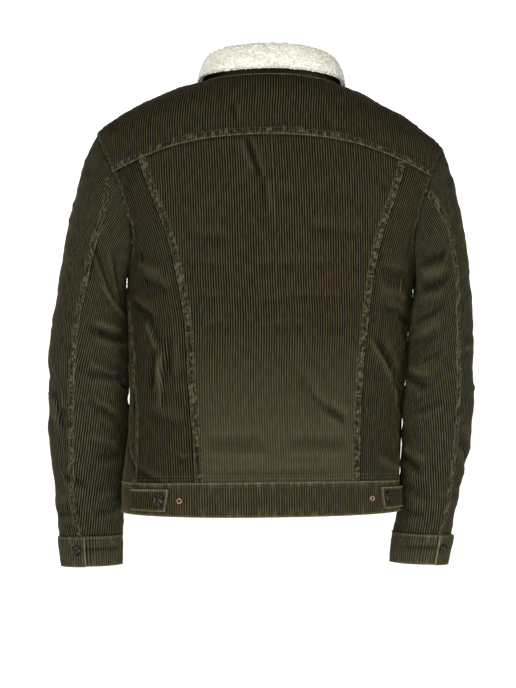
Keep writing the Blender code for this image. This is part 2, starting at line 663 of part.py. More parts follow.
def make_waistband():
    """Waistband with its lap, side tabs, their buttons and the ring studs."""
    right, left = half_girth(1, BAND_TOP), half_girth(-1, BAND_TOP)
    distances = np.linspace(-left - 18.0, right + 18.0, 46)
    grid = band_grid(distances, HEM, BAND_TOP - GAP, 3)
    body_wall("waistband", grid, BAND_WALL, CORDUROY, band_lift(grid[..., 0]))
    spot = body_point(np.array(-left), np.array(BUTTON_LEVEL), BAND_WALL + 3 * LAY)
    place_button("band_button", *spot, BUTTON_RADIUS, DARK_METAL)
    for sign, side in ((-1, "left"), (1, "right")):
        anchor = float(np.abs(side_line(sign, np.array([BUTTON_LEVEL]))[0, 0]))
        distances = sign * np.linspace(anchor, anchor - TAB_LENGTH, 8)
        grid = band_grid(distances, -585.0, -552.0, 3)
        body_wall("tab_" + side, grid, BAND_WALL, CORDUROY, LAY + BAND_WALL)
        spot = body_point(np.array(sign * (anchor - TAB_BUTTON)), np.array(TAB_LEVEL),
                          2 * LAY + BAND_WALL)
        place_button("tab_button_" + side, *spot, BUTTON_RADIUS, DARK_METAL)
        spot = body_point(np.array(sign * (anchor - TAB_RING)), np.array(TAB_LEVEL), LAY)
        place_ring("ring_stud_" + side, *spot, COPPER)


def lathe(spot, normal, profile):
    """Turn a profile of (radius, height) about the normal at a spot."""
    count = TURNED_SIDES
    aside = np.cross(normal, [0.0, 0.0, 1.0])
    aside /= np.linalg.norm(aside)
    upward = np.cross(aside, normal)
    turns = np.radians(np.arange(count) * 360.0 / count)
    around = np.cos(turns)[:, None] * aside + np.sin(turns)[:, None] * upward
    points, faces = [], []
    for radius, height in profile:
        points.extend(spot + normal * height + around * radius)
    rings = len(profile)
    for k in range(rings - 1):
        for j in range(count):
            m = (j + 1) % count
            faces.append((k * count + j, k * count + m, (k + 1) * count + m, (k + 1) * count + j))
    return points, faces


def place_button(name, spot, normal, radius, kind):
    """Button with a raised rim, standing on the cloth at a spot."""
    rise = 3.2
    profile = [(radius * 0.75, 0.0), (radius, 1.2), (radius, 2.3), (radius * 0.85, rise),
               (radius * 0.6, 2.4)]
    points, faces = lathe(spot, normal, profile)
    faces.append(tuple(range(TURNED_SIDES)))
    faces.append(tuple(range(len(points) - TURNED_SIDES, len(points))))
    fix_normals(add_mesh(name, points, faces, kind))


def place_ring(name, spot, normal, kind):
    """Small ring stud with an open middle."""
    profile = [(3.9, 0.0), (3.9, 1.0), (3.2, 1.7), (2.2, 1.2), (2.0, 0.0)]
    points, faces = lathe(spot, normal, profile)
    last = len(points) - TURNED_SIDES
    for j in range(TURNED_SIDES):
        m = (j + 1) % TURNED_SIDES
        faces.append((j, m, last + m, last + j))
    fix_normals(add_mesh(name, points, faces, kind))


def make_sleeve(side):
    """Upper and under sleeve, cuff and cuff button."""
    ways = np.linspace(0.0, 1.0, 18)
    ways[0], ways[-1] = 0.0, 1.0 - GAP / SLEEVE_LENGTH
    seam = smooth(SLEEVES[side], 8, ways)
    split = 0.25
    over, under, front = armhole_stations()
    stations = np.unique(np.concatenate([front - 360.0, over, under, front]).round(6))
    for name, low, high in (("upper", FRONT_SEAM - 360.0 + 0 * ways, seam),
                            ("under", seam, FRONT_SEAM + 0 * ways)):
        first, last = low[0], high[0]
        held = stations[(stations > first - 0.01) & (stations < last + 0.01)]
        shares = (held - held[0]) / (held[-1] - held[0])
        clock = (low + split)[:, None] * (1 - shares) + (high - split)[:, None] * shares
        outer, normal = sleeve_point(side, clock, ways[:, None] + 0 * clock)
        depth = -normal * SLEEVE_WALL
        depth[0] = hole_side(side, clock[0], depth[0])
        add_wall(f"sleeve_{name}_{side}", outer, outer + depth, CORDUROY)

    end = CUFF_END[side]
    clock = np.linspace(end - 32.0, end + 360.0, 25)[None, :]
    down = np.array([1.2, 12.0, 24.0, 42.0])[:, None]
    clock, down = np.broadcast_arrays(clock, down)
    lift = (BAND_WALL + LAY) * np.clip((clock - (end + 270.0)) / 40.0, 0.0, 1.0)
    outer, normal = cuff_point(side, clock, down, lift)
    add_wall("cuff_" + side, outer, outer - normal * BAND_WALL, CORDUROY)
    spot = cuff_point(side, np.array(end - 13.0), np.array(18.0), BAND_WALL + 2 * LAY)
    place_button("cuff_button_" + side, *spot, CUFF_BUTTON_RADIUS, DARK_METAL)


def make_collar():
    """Sherpa upper collar folded over the corduroy under-collar."""
    angle = np.linspace(-174.0, 174.0, 29)[:, None]
    way = np.array([0.0, 0.22, 0.40, 0.50, 0.60, 0.78, 1.0])[None, :]
    angle, way = np.broadcast_arrays(angle, way)
    inner = UNDER_COLLAR_WALL + GAP
    add_wall("collar_under", collar_point(angle, way, UNDER_COLLAR_WALL),
             collar_point(angle, way, 0.0), CORDUROY)
    add_wall("collar_upper", collar_point(angle, way, inner + SHERPA_WALL),
             collar_point(angle, way, inner), SHERPA)


for old in list(bpy.data.objects):
    bpy.data.objects.remove(old)
COLLECTION = bpy.data.collections.new("sherpa_lined_jacket")
bpy.context.scene.collection.children.link(COLLECTION)

make_back()
make_front()
make_waistband()
make_sleeve("left")
make_sleeve("right")
make_collar()
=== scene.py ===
"""Looks of the sherpa lined corduroy jacket: cloth with its wales, seams, stitches and folds.

Sizes are in millimetres and degrees, as in the part's own tables, until a mesh is made.
A point of the body is told by its distance round it from the centre back and its level;
a point of a sleeve by its clock angle (0 outside, 90 back, 180 inside) and its way down.
"""

import math

import bpy
import numpy as np
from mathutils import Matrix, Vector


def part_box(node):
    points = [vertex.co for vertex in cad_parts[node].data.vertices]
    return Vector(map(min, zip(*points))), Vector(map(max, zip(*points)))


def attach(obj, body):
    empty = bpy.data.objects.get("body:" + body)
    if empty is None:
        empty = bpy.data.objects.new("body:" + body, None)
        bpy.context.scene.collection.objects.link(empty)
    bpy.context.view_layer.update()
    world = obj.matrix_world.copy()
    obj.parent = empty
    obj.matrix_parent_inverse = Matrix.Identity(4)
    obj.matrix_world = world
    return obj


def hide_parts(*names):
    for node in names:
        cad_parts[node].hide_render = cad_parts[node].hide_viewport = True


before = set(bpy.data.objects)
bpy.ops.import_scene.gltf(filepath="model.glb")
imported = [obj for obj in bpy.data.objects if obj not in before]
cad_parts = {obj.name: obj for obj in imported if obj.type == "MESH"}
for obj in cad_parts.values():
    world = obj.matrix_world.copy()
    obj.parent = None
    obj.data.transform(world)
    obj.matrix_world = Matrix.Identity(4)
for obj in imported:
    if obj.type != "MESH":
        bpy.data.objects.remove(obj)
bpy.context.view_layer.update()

MM = 0.001
WALE = 3.55           # pitch of the corduroy's ribs
RIB = 1.25            # height of a rib
STEP = WALE / 4       # columns of the cloth's mesh
WALL = 2.6            # how far the edge of a panel is turned in
LINING = 7.2          # depth of the body's lining under the surface
HEM, BAND_TOP, NECK = -592.0, -543.0, 23.0
FRONT_SEAM = 280.0
BLEND = 0.17
GAP = 0.35
LAY = 0.4
BAND_WALL = 3.0
STITCH = 3.4          # length of a stitch with its gap
SINK = 0.15           # how far a stitch is drawn into the cloth
ARM = 580.0           # length of a sleeve along its way
UNDER_COLLAR_WALL = 1.5
PANEL_FOOT = 118.0    # distance of the slanted seam from the centre back, at the waistband
BUTTON_LEVEL, TAB_LEVEL = -568.0, -568.5
TAB_LENGTH, TAB_BUTTON, TAB_RING = 63.0, 50.0, 77.0   # along the waistband from its side seam
FLOOR = -1.42         # in metres

BODY = np.array([
    # back   left   right  front  half   deep_b deep_f power  mid_x  turn
    [-592.0, -590., -590., -590., 197.5, 117.0, 125.0, 2.40,  -6.5, 13.0],
    [-545.0, -548., -548., -548., 197.0, 115.0, 124.0, 2.40,  -6.0, 12.5],
    [-480.0, -480., -480., -480., 192.5, 111.0, 125.0, 2.40,  -3.0, 10.5],
    [-400.0, -400., -400., -400., 192.0, 112.0, 127.0, 2.35,   0.0,  8.0],
    [-320.0, -320., -320., -320., 197.0, 118.0, 129.0, 2.35,   4.0,  6.0],
    [-250.0, -250., -250., -250., 204.0, 124.0, 132.0, 2.40,   7.0,  3.0],
    [-205.0, -207., -209., -218., 212.0, 126.0, 133.0, 2.45,   8.0,  2.0],
    [-160.0, -163., -167., -192., 226.0, 125.0, 132.0, 2.55,   8.0,  1.5],
    [-115.0, -122., -129., -170., 240.0, 121.0, 129.0, 2.60,   7.5,  1.0],
    [-75.0,   -88.,  -99., -150., 245.0, 114.0, 124.0, 2.50,   6.5,  0.5],
    [-42.0,   -56.,  -76., -132., 242.0, 106.0, 119.0, 2.35,   6.0,  0.0],
    [-20.0,   -36.,  -57., -118., 220.0,  99.0, 113.0, 2.25,   7.0,  0.0],
    [-3.0,  -17.5,  -35.5, -103., 190.0,  91.0, 106.0, 2.20,   8.0,  0.0],
    [9.0,    -1.5,  -17.0,  -88., 155.0,  82.0,  97.0, 2.20,   8.0,  0.0],
    [17.0,    9.5,    0.0,  -75., 125.0,  74.0,  88.0, 2.20,   8.0,  0.0],
    [23.0,   17.0,   12.0,  -62.,  93.0,  66.0,  74.0, 2.20,   8.0,  0.0],
])
ARMHOLE = np.array([
    # clock  angle  level
    [0.0,    90.0,  -42.0],
    [30.0,   74.0,  -62.0],
    [60.0,   64.5, -104.0],
    [90.0,   62.5, -150.0],
    [120.0,  65.5, -200.0],
    [150.0,  75.5, -236.0],
    [180.0,  90.0, -250.0],
    [210.0, 104.5, -238.0],
    [240.0, 115.0, -202.0],
    [270.0, 119.0, -150.0],
    [300.0, 116.0,  -98.0],
    [330.0, 105.0,  -62.0],
])
# distance from the centre back, level
YOKE_SEAM = np.array([
    [0.0, -65.0], [45.0, -66.5], [90.0, -70.0], [130.0, -76.5], [175.0, -89.0],
    [230.0, -107.0],
])
# level, distance from the centre back
PANEL_SEAM = np.array([
    [-592.0, 117.0], [-545.0, 118.0], [-472.0, 120.0], [-427.0, 123.0], [-382.0, 126.0],
    [-320.0, 131.0], [-276.0, 137.0], [-228.0, 146.0], [-183.0, 159.0], [-137.0, 175.5],
    [-95.0, 188.5], [-60.0, 198.0],
])
# level, angle round the body
SIDE_SEAM = np.array([
    [-592.0, 73.5], [-545.0, 74.0], [-400.0, 79.0], [-300.0, 84.0], [-250.0, 90.0],
])
SLEEVE_LEFT = np.array([
    # way   out_x   out_z   in_x    in_z    mid_y  deep  power  seam
    [0.00, -236.0,  -56.0, -197.0, -250.0,   0.0, 66.0, 2.2,  62.1],
    [0.06, -253.0,  -90.0, -201.0, -272.0,  -2.0, 70.0, 2.2,  80.0],
    [0.13, -266.5, -134.0, -199.0, -297.0,  -3.0, 74.0, 2.2,  86.0],
    [0.21, -277.0, -180.0, -198.0, -325.0,  -3.0, 77.0, 2.2,  84.0],
    [0.31, -288.0, -238.0, -196.5, -357.0,  -3.0, 74.0, 2.2,  80.0],
    [0.41, -297.5, -297.0, -195.0, -392.0,  -2.0, 70.0, 2.2,  75.0],
    [0.51, -305.0, -354.0, -195.0, -424.0,   1.0, 66.0, 2.2,  76.0],
    [0.61, -309.5, -412.0, -195.5, -460.0,   6.0, 61.0, 2.2,  76.0],
    [0.71, -308.5, -470.0, -197.0, -498.0,  14.0, 57.0, 2.2,  75.0],
    [0.81, -305.0, -527.0, -200.0, -540.0,  24.0, 52.0, 2.2,  73.0],
    [0.91, -300.0, -583.0, -204.5, -585.0,  34.0, 47.0, 2.2,  70.0],
    [1.00, -296.0, -629.0, -207.0, -627.0,  42.0, 43.0, 2.2,  80.0],
])
SLEEVE_RIGHT = np.array([
    [0.00,  248.0,  -76.0,  211.0, -250.0,   0.0, 66.0, 2.2,  81.7],
    [0.06,  260.0, -108.0,  213.0, -272.0,  -1.0, 70.0, 2.2,  76.0],
    [0.13,  271.5, -148.0,  211.0, -297.0,  -1.0, 74.0, 2.2,  70.0],
    [0.21,  280.5, -192.0,  207.5, -325.0,   1.0, 76.0, 2.2,  68.0],
    [0.31,  287.5, -245.0,  204.5, -357.0,   3.0, 74.0, 2.2,  67.0],
    [0.41,  291.0, -302.0,  201.5, -392.0,   4.0, 70.0, 2.2,  66.0],
    [0.51,  293.5, -357.0,  196.0, -424.0,   7.0, 66.0, 2.2,  66.0],
    [0.61,  295.5, -412.0,  194.0, -460.0,  12.0, 61.0, 2.2,  67.0],
    [0.71,  293.5, -468.0,  193.0, -498.0,  20.0, 57.0, 2.2,  67.0],
    [0.81,  284.5, -524.0,  192.0, -540.0,  30.0, 52.0, 2.2,  63.0],
    [0.91,  275.0, -581.0,  191.0, -585.0,  40.0, 47.0, 2.2,  61.0],
    [1.00,  266.0, -627.0,  183.0, -624.0,  48.0, 43.0, 2.2,  63.0],
])
SLEEVES = {"left": SLEEVE_LEFT, "right": SLEEVE_RIGHT}
CUFF = np.array([
    # down   grow   left_x right_x shift_y
    [0.0,    1.000,  0.0,   0.0,   0.0],
    [12.0,   1.005,  0.3,  -1.5,   0.8],
    [24.0,   0.990,  0.8,  -3.5,   1.6],
    [42.0,   0.960,  2.0,  -6.0,   2.6],
])
CUFF_END = {"left": 84.0, "right": 62.0}
COLLAR = np.array([
    # angle mid_r mid_z crest_r crest_z fall_r fall_z edge_r edge_z
    [0.0,   -3.0, 20.0,  4.0,   36.0,  13.0,  22.0,  14.5,   6.0],
    [40.0,  -5.0, 19.0,  0.5,   34.0,   9.0,  20.0,  11.5,   5.5],
    [65.0,  -8.0, 18.0, -5.0,   32.0,   3.5,  18.0,   7.5,   5.0],
    [90.0,  -9.0, 17.0, -6.5,   30.0,   1.0,  16.0,   3.5,   4.0],
    [125.0, -5.0, 13.0,  0.0,   25.0,  11.0,  12.0,  24.0,  -2.0],
    [150.0, -2.0, 11.0,  4.0,   20.0,  20.0,   6.0,  44.0, -24.0],
    [174.0, -1.0,  9.0,  5.0,   16.0,  23.0,   0.0,  52.0, -50.0],
])

# Folds of the body: from and to (distance, level), width, height. The first eight are
# the large ones, close to those of the solids.
BODY_FOLDS = [
    # from_s from_z   to_s   to_z   width  height
    (40.0,  -419.0,  100.0, -458.0, 13.0, -3.0),
    (-150., -512.0,  150.0, -512.0, 20.0,  3.0),
    (-165., -330.0, -168.0, -405.0, 12.0,  5.0),
    (190.0, -335.0,  232.0, -425.0, 14.0,  5.0),
    (-90.0, -268.0,  100.0, -284.0, 16.0, -2.5),
    (160.0, -300.0,  175.0, -520.0, 22.0,  3.0),
    (330.0, -300.0,  470.0, -350.0, 18.0, -3.0),
    (-330., -310.0, -460.0, -355.0, 18.0, -3.0),
    # long crease below the yoke, and a short one in the yoke
    (-35.0,  -68.0,  -17.0, -127.0,  4.5, -3.2),
    (-43.0,  -70.0,  -26.0, -122.0,  6.0,  1.4),
    (-17.0, -122.0,  -12.0, -174.0,  5.0, -2.2),
    (-54.0,  -20.0,  -48.0,  -48.0,  4.5, -2.0),
    (70.0,   -30.0,   82.0,  -58.0,  6.0, -1.2),
    # soft wrinkles across the middle of the back
    (-134., -238.0,  -60.0, -252.0,  5.0, -1.1),
    (-30.0, -247.0,   84.0, -244.0,  6.0, -0.9),
    (-112., -289.0,  -50.0, -296.0,  5.0, -1.2),
    (-36.0, -299.0,   30.0, -296.0,  6.0, -0.8),
    (10.0,  -288.0,   96.0, -293.0,  5.0, -1.0),
    (-108., -333.0,  -64.0, -330.0,  6.0, -1.0),
    (-30.0, -334.0,   60.0, -326.0,  6.0, -0.9),
    (-60.0, -352.0,   60.0, -356.0, 10.0,  0.8),
    (-118., -205.0,  -60.0, -212.0,  8.0, -1.2),
    (40.0,  -196.0,  120.0, -204.0,  9.0, -1.2),
    # slanted creases low on the right
    (46.0,  -423.0,   72.0, -443.0,  5.0, -2.4),
    (70.0,  -441.0,   98.0, -460.0,  6.0, -3.4),
    (58.0,  -448.0,   92.0, -470.0,  7.0,  1.5),
    (28.0,  -396.0,   50.0, -424.0,  8.0, -1.4),
    # rolls above the waistband
    (-108., -505.0,   -8.0, -509.0,  7.0,  1.4),
    (0.0,   -503.0,  102.0, -506.0,  7.0,  1.2),
    (-112., -531.0,  100.0, -530.0,  6.0, -1.3),
    (-100., -488.0,  -20.0, -484.0,  8.0, -1.4),
    (12.0,  -486.0,  104.0, -489.0,  9.0, -1.3),
    (-146., -508.0, -124.0, -517.0,  4.0, -2.6),
    # left side panel
    (-192., -321.0, -168.0, -361.0,  5.0,  3.6),
    (-162., -369.0, -166.0, -411.0,  4.5,  3.2),
    (-166., -409.0, -167.0, -441.0,  5.0,  2.4),
    (-176., -362.0, -182.0, -420.0,  7.0, -3.0),
    (-152., -340.0, -150.0, -400.0,  6.0, -2.0),
    (-258., -489.0, -210.0, -527.0,  6.0, -3.0),
    (-210., -527.0, -166.0, -543.0,  6.0, -2.6),
    (-200., -262.0, -152.0, -282.0,  7.0, -2.4),
    (-208., -240.0, -160.0, -256.0,  7.0,  2.0),
    (-222., -296.0, -178.0, -318.0,  7.0, -3.0),
    (-190., -450.0, -132.0, -470.0,  9.0, -1.6),
    # right side panel
    (132.0, -345.0,  182.0, -411.0,  5.5,  3.0),
    (182.0, -411.0,  196.0, -441.0,  5.0,  3.0),
    (196.0, -441.0,  224.0, -463.0,  6.0,  2.6),
    (146.0, -348.0,  192.0, -402.0,  7.0, -2.4),
    (150.0, -250.0,  204.0, -262.0,  7.0, -2.2),
    (146.0, -276.0,  214.0, -290.0,  8.0,  1.8),
    (152.0, -303.0,  226.0, -322.0,  7.0, -2.4),
    (140.0, -470.0,  206.0, -500.0, 10.0, -1.8),
    (150.0, -512.0,  210.0, -530.0,  8.0,  1.8),
    # where the cloth presses against the sleeves
    (-230., -440.0, -262.0, -258.0, 26.0,  3.4),
    (226.0, -420.0,  264.0, -272.0, 26.0,  2.8),
    # under the arms and over the fronts, which are hidden
    (262.0, -268.0,  300.0, -330.0,  9.0, -3.0),
    (-262., -268.0, -298.0, -336.0,  9.0, -3.0),
    (300.0, -262.0,  382.0, -286.0,  9.0, -2.4),
    (-304., -266.0, -390.0, -280.0,  9.0, -2.2),
    (380.0, -196.0,  430.0, -214.0, 10.0, -2.0),
    (-384., -190.0, -436.0, -216.0, 10.0, -2.2),
    (420.0, -412.0,  500.0, -430.0, 10.0, -1.8),
    (-410., -420.0, -498.0, -440.0, 11.0, -2.0),
    (300.0, -468.0,  390.0, -500.0, 10.0,  2.2),
    (-296., -462.0, -380.0, -508.0, 10.0,  2.4),
    (260.0, -512.0,  420.0, -528.0,  9.0, -2.0),
    (-270., -516.0, -430.0, -526.0,  9.0, -2.0),
    (360.0,  -60.0,  430.0, -120.0, 10.0, -2.0),
    (-366.,  -66.0, -440.0, -118.0, 10.0, -1.8),
]
# Folds of the sleeves: from and to (clock, way), width, height; the first five of each
# are the large ones.
SLEEVE_FOLDS = {
    "left": [
        (100.0, 0.44, 165.0, 0.40, 11.0, -5.0),
        (95.0,  0.60, 160.0, 0.64, 11.0, -4.0),
        (20.0,  0.56,  60.0, 0.64, 11.0, -4.0),
        (190.0, 0.52, 300.0, 0.56, 13.0, -5.0),
        (200.0, 0.62, 290.0, 0.60, 12.0, -4.0),
        (86.0,  0.39, 160.0, 0.29,  7.0, -3.6),
        (92.0,  0.36, 150.0, 0.26,  7.0,  2.4),
        (84.0,  0.15, 128.0, 0.20,  7.0, -2.4),
        (96.0,  0.22, 160.0, 0.20,  8.0,  2.6),
        (104.0, 0.09, 150.0, 0.15,  7.0, -2.6),
        (101.0, 0.62, 136.0, 0.62,  6.0, -2.6),
        (98.0,  0.585, 140.0, 0.60, 7.0,  1.8),
        (8.0,   0.61,  44.0, 0.63,  5.0, -3.2),
        (44.0,  0.63,  58.0, 0.71,  5.0, -3.0),
        (20.0,  0.66,  46.0, 0.69,  7.0,  2.2),
        (136.0, 0.47, 170.0, 0.50,  6.0, -3.4),
        (84.0,  0.53, 158.0, 0.44,  7.0, -2.0),
        (90.0,  0.485, 140.0, 0.46, 7.0,  1.6),
        (50.0,  0.83,  92.0, 0.85,  6.0, -2.6),
        (96.0,  0.77, 150.0, 0.74,  8.0, -2.0),
        (94.0,  0.70, 140.0, 0.71,  8.0,  1.6),
        (100.0, 0.93, 150.0, 0.91,  6.0, -2.2),
        (26.0,  0.94,  66.0, 0.93,  6.0, -2.4),
        (20.0,  0.90,  60.0, 0.885, 7.0,  1.8),
        (104.0, 0.88, 146.0, 0.865, 7.0,  1.6),
        (-30.0, 0.55,  20.0, 0.60, 10.0, -2.6),
        (-50.0, 0.70,   0.0, 0.74, 10.0, -2.0),
        (210.0, 0.44, 280.0, 0.47,  9.0, -2.4),
        (220.0, 0.84, 290.0, 0.80,  9.0, -2.2),
        (180.0, 0.03, 180.0, 0.50, 26.0,  3.2),
    ],
    "right": [
        (100.0, 0.36, 160.0, 0.33, 11.0, -5.0),
        (90.0,  0.52, 160.0, 0.49, 11.0, -4.0),
        (80.0,  0.71, 165.0, 0.67, 12.0, -4.0),
        (190.0, 0.52, 300.0, 0.56, 13.0, -5.0),
        (200.0, 0.62, 290.0, 0.60, 12.0, -4.0),
        (78.0,  0.18, 124.0, 0.07,  6.0, -3.0),
        (76.0,  0.265, 134.0, 0.13, 6.5, -3.2),
        (80.0,  0.22, 128.0, 0.10,  7.0,  2.2),
        (84.0,  0.32, 150.0, 0.22,  7.0, -2.6),
        (90.0,  0.36, 150.0, 0.28,  8.0,  2.2),
        (112.0, 0.54, 172.0, 0.42,  6.0, -3.4),
        (104.0, 0.50, 160.0, 0.40,  7.0,  2.4),
        (88.0,  0.45, 130.0, 0.41,  7.0, -2.0),
        (110.0, 0.81, 172.0, 0.74,  6.0, -3.2),
        (104.0, 0.78, 160.0, 0.71,  8.0,  2.2),
        (86.0,  0.61, 140.0, 0.60,  7.0, -1.8),
        (92.0,  0.89, 150.0, 0.84,  7.0, -2.2),
        (96.0,  0.94, 150.0, 0.92,  6.0, -2.0),
        (0.0,   0.83,  50.0, 0.74,  7.0, -2.8),
        (0.0,   0.79,  46.0, 0.70,  8.0,  2.0),
        (10.0,  0.90,  50.0, 0.88,  7.0, -2.0),
        (6.0,   0.50,  50.0, 0.47,  8.0, -1.8),
        (-40.0, 0.56,  10.0, 0.60, 10.0, -2.4),
        (-50.0, 0.40,   0.0, 0.37, 10.0, -1.8),
        (210.0, 0.44, 280.0, 0.47,  9.0, -2.4),
        (220.0, 0.82, 290.0, 0.80,  9.0, -2.2),
        (180.0, 0.05, 180.0, 0.44, 26.0,  2.8),
    ],
}


def smooth(table, column, at):
    """Read one column of a table at any value of its first column, by a smooth curve."""
    knots, values = table[:, 0], table[:, column]
    slopes = np.gradient(values, knots)
    at = np.clip(at, knots[0], knots[-1])
    i = np.clip(np.searchsorted(knots, at) - 1, 0, len(knots) - 2)
    width = knots[i + 1] - knots[i]
    u = (at - knots[i]) / width
    v = 1.0 - u
    rise = values[i] * (1 + 2 * u) * v * v + values[i + 1] * (1 + 2 * v) * u * u
    return rise + width * u * v * (slopes[i] * v - slopes[i + 1] * u)


def oval(angle, power):
    """Cosine and sine of an oval that is squarer than an ellipse."""
    c, s = np.cos(np.radians(angle)), np.sin(np.radians(angle))
    c = np.sign(c) * np.abs(c) ** (2.0 / power)
    s = np.sign(s) * np.abs(s) ** (2.0 / power)
    return c, s


def fold_height(u, v, folds, scale_u, scale_v):
    """Sum of soft ridges and troughs, each along a line, fading towards its ends."""
    total = np.zeros(np.broadcast(u, v).shape)
    for u0, v0, u1, v1, width, height in folds:
        du, dv = (u1 - u0) * scale_u, (v1 - v0) * scale_v
        pu, pv = (u - u0) * scale_u, (v - v0) * scale_v
        along = (pu * du + pv * dv) / (du * du + dv * dv)
        near = np.clip(along, 0.0, 1.0)
        away = np.hypot(pu - near * du, pv - near * dv)
        fade = np.clip(1.25 - 1.25 * np.abs(2 * near - 1) ** 3, 0.0, 1.0)
        total += height * fade * np.exp(-(away / width) ** 2)
    return total


def crisp(folds, gain, scale_u, scale_v):
    """The same folds, the narrow ones sharper: a deeper crease with a soft lip beside it."""
    made = []
    for u0, v0, u1, v1, width, height in folds:
        if width > 9.5:
            made.append((u0, v0, u1, v1, width, height))
            continue
        made.append((u0, v0, u1, v1, width * 0.72, height * gain))
        du, dv = (u1 - u0) * scale_u, (v1 - v0) * scale_v
        length = math.hypot(du, dv)
        aside = width * 1.5 / length
        lip_u, lip_v = -dv * aside / scale_u, du * aside / scale_v
        made.append((u0 + lip_u, v0 + lip_v, u1 + lip_u, v1 + lip_v, width * 0.85,
                     -0.5 * height * gain))
    return made


BODY_FOLDS = crisp(BODY_FOLDS, 1.25, 1.0, 1.0)
SLEEVE_FOLDS = {side: crisp(folds, 1.25, 1.0, ARM) for side, folds in SLEEVE_FOLDS.items()}
LATTICE = np.random.default_rng(7).uniform(-1.0, 1.0, (64, 64))


def noise(u, v, shift=0.0):
    """Smooth random field from -1 to 1, with features of about one unit."""
    u, v = np.broadcast_arrays(np.asarray(u, float) + shift * 1.7 + 200.0,
                               np.asarray(v, float) + shift * 2.9 + 200.0)
    i, j = np.floor(u).astype(int), np.floor(v).astype(int)
    a, b = u - i, v - j
    a, b = a * a * (3 - 2 * a), b * b * (3 - 2 * b)

    def at(m, n):
        return LATTICE[(i + m) % 64, (j + n) % 64]

    low = at(0, 0) * (1 - a) + at(1, 0) * a
    high = at(0, 1) * (1 - a) + at(1, 1) * a
    return low * (1 - b) + high * b


def wrinkle(u, v, shift):
    """Uneven surface of worn cloth: soft lumps, and fine wrinkles that run across."""
    lumps = 0.9 * noise(u / 46.0, v / 38.0, shift)
    across = 0.75 * noise(u / 52.0 + v / 90.0, v / 11.5, shift + 3.0)
    fine = 0.35 * noise(u / 23.0 - v / 60.0, v / 6.8, shift + 5.0)
    return lumps + across + fine


def body_at(angle, level):
    """Outer surface of the body by angle round it and level, without folds."""
    left, right, front, half, deep_b, deep_f, power, mid_x, turn = (
        smooth(BODY, k, level) for k in range(1, 10))
    c, s = oval(angle, power)
    x, y = half * s, -np.where(c > 0, deep_b, deep_f) * c
    cc, ss = np.cos(np.radians(angle)), np.sin(np.radians(angle))
    z = np.where(cc > 0, level, front) * cc**2 + np.where(ss < 0, left, right) * ss**2
    turn = np.radians(turn)
    return np.stack([mid_x + x * np.cos(turn) - y * np.sin(turn),
                     x * np.sin(turn) + y * np.cos(turn), z], axis=-1)


LEVELS = np.linspace(HEM, NECK, 247)
ANGLES = np.linspace(0.0, 180.0, 361)


def measure_rings(sign):
    """Distance round the body from the centre back, for every level and angle."""
    ring = body_at(sign * ANGLES[None, :], LEVELS[:, None])
    steps = np.linalg.norm(np.diff(ring, axis=1), axis=2)
    return np.concatenate([np.zeros((len(LEVELS), 1)), np.cumsum(steps, axis=1)], axis=1)


ROUND = {1: measure_rings(1), -1: measure_rings(-1)}
SHARES = np.linspace(0.0, 1.0, 401)
ANGLE_OF_SHARE = {
    sign: np.array([np.interp(SHARES, row / row[-1], ANGLES) for row in rows])
    for sign, rows in ROUND.items()
}


def between_levels(rows, level, column):
    """Bilinear reading of a table that has a row for each of LEVELS."""
    at = np.clip((level - HEM) / (NECK - HEM), 0, 1) * (len(LEVELS) - 1)
    i = np.minimum(at.astype(int), len(LEVELS) - 2)
    j = np.minimum(column.astype(int), rows.shape[1] - 2)
    u, v = at - i, column - j
    low = rows[i, j] * (1 - v) + rows[i, j + 1] * v
    high = rows[i + 1, j] * (1 - v) + rows[i + 1, j + 1] * v
    return low * (1 - u) + high * u


def half_girth(sign, level):
    """Distance from the centre back to the centre front."""
    return np.interp(level, LEVELS, ROUND[sign][:, -1])


def distance_of(angle, level):
    """Distance from the centre back of the point at an angle and level."""
    angle, level = np.broadcast_arrays(np.asarray(angle, float), np.asarray(level, float))
    column = np.abs(angle) / 180.0 * (len(ANGLES) - 1)
    right = between_levels(ROUND[1], level, column)
    left = between_levels(ROUND[-1], level, column)
    return np.where(angle < 0, -left, right)


def angle_of(distance, level):
    """Angle of the point at a distance from the centre back; it may pass the front."""
    distance, level = np.broadcast_arrays(np.asarray(distance, float),
                                          np.asarray(level, float))
    columns = len(SHARES) - 1

    def look(sign):
        share = np.abs(distance) / half_girth(sign, level)
        beyond = share > 1.0
        share = np.where(beyond, 2.0 - share, share)
        angle = between_levels(ANGLE_OF_SHARE[sign], level, share * columns)
        return np.where(beyond, 360.0 - angle, angle)

    return np.where(distance < 0, -look(-1), look(1))


def body_point(distance, level, lift=0.0, folds=True):
    """Outer surface of the body and its normal, moved out by lift."""
    angle = angle_of(distance, level)
    up = np.minimum(level + 1.0, NECK)
    down = np.maximum(level - 1.0, HEM)
    across = body_at(angle + 0.4, level) - body_at(angle - 0.4, level)
    along = body_at(angle, up) - body_at(angle, down)
    normal = np.cross(across, along)
    normal /= np.linalg.norm(normal, axis=-1, keepdims=True)
    if folds:
        calm = np.clip((level - HEM) / 70.0, 0.35, 1.0) * np.clip((NECK - level) / 40.0, 0.2, 1.0)
        lift = lift + fold_height(distance, level, BODY_FOLDS, 1.0, 1.0)
        lift = lift + calm * wrinkle(distance, level, 1.0)
    return body_at(angle, level) + normal * np.asarray(lift)[..., None], normal


def armhole_at(side, clock):
    """Angle round the body and level of the armhole at a clock angle."""
    table = np.vstack([ARMHOLE[-2:] - [360, 0, 0], ARMHOLE, ARMHOLE[:2] + [360, 0, 0]])
    clock = np.mod(clock, 360.0)
    sign = -1.0 if side == "left" else 1.0
    return sign * smooth(table, 1, clock), smooth(table, 2, clock)


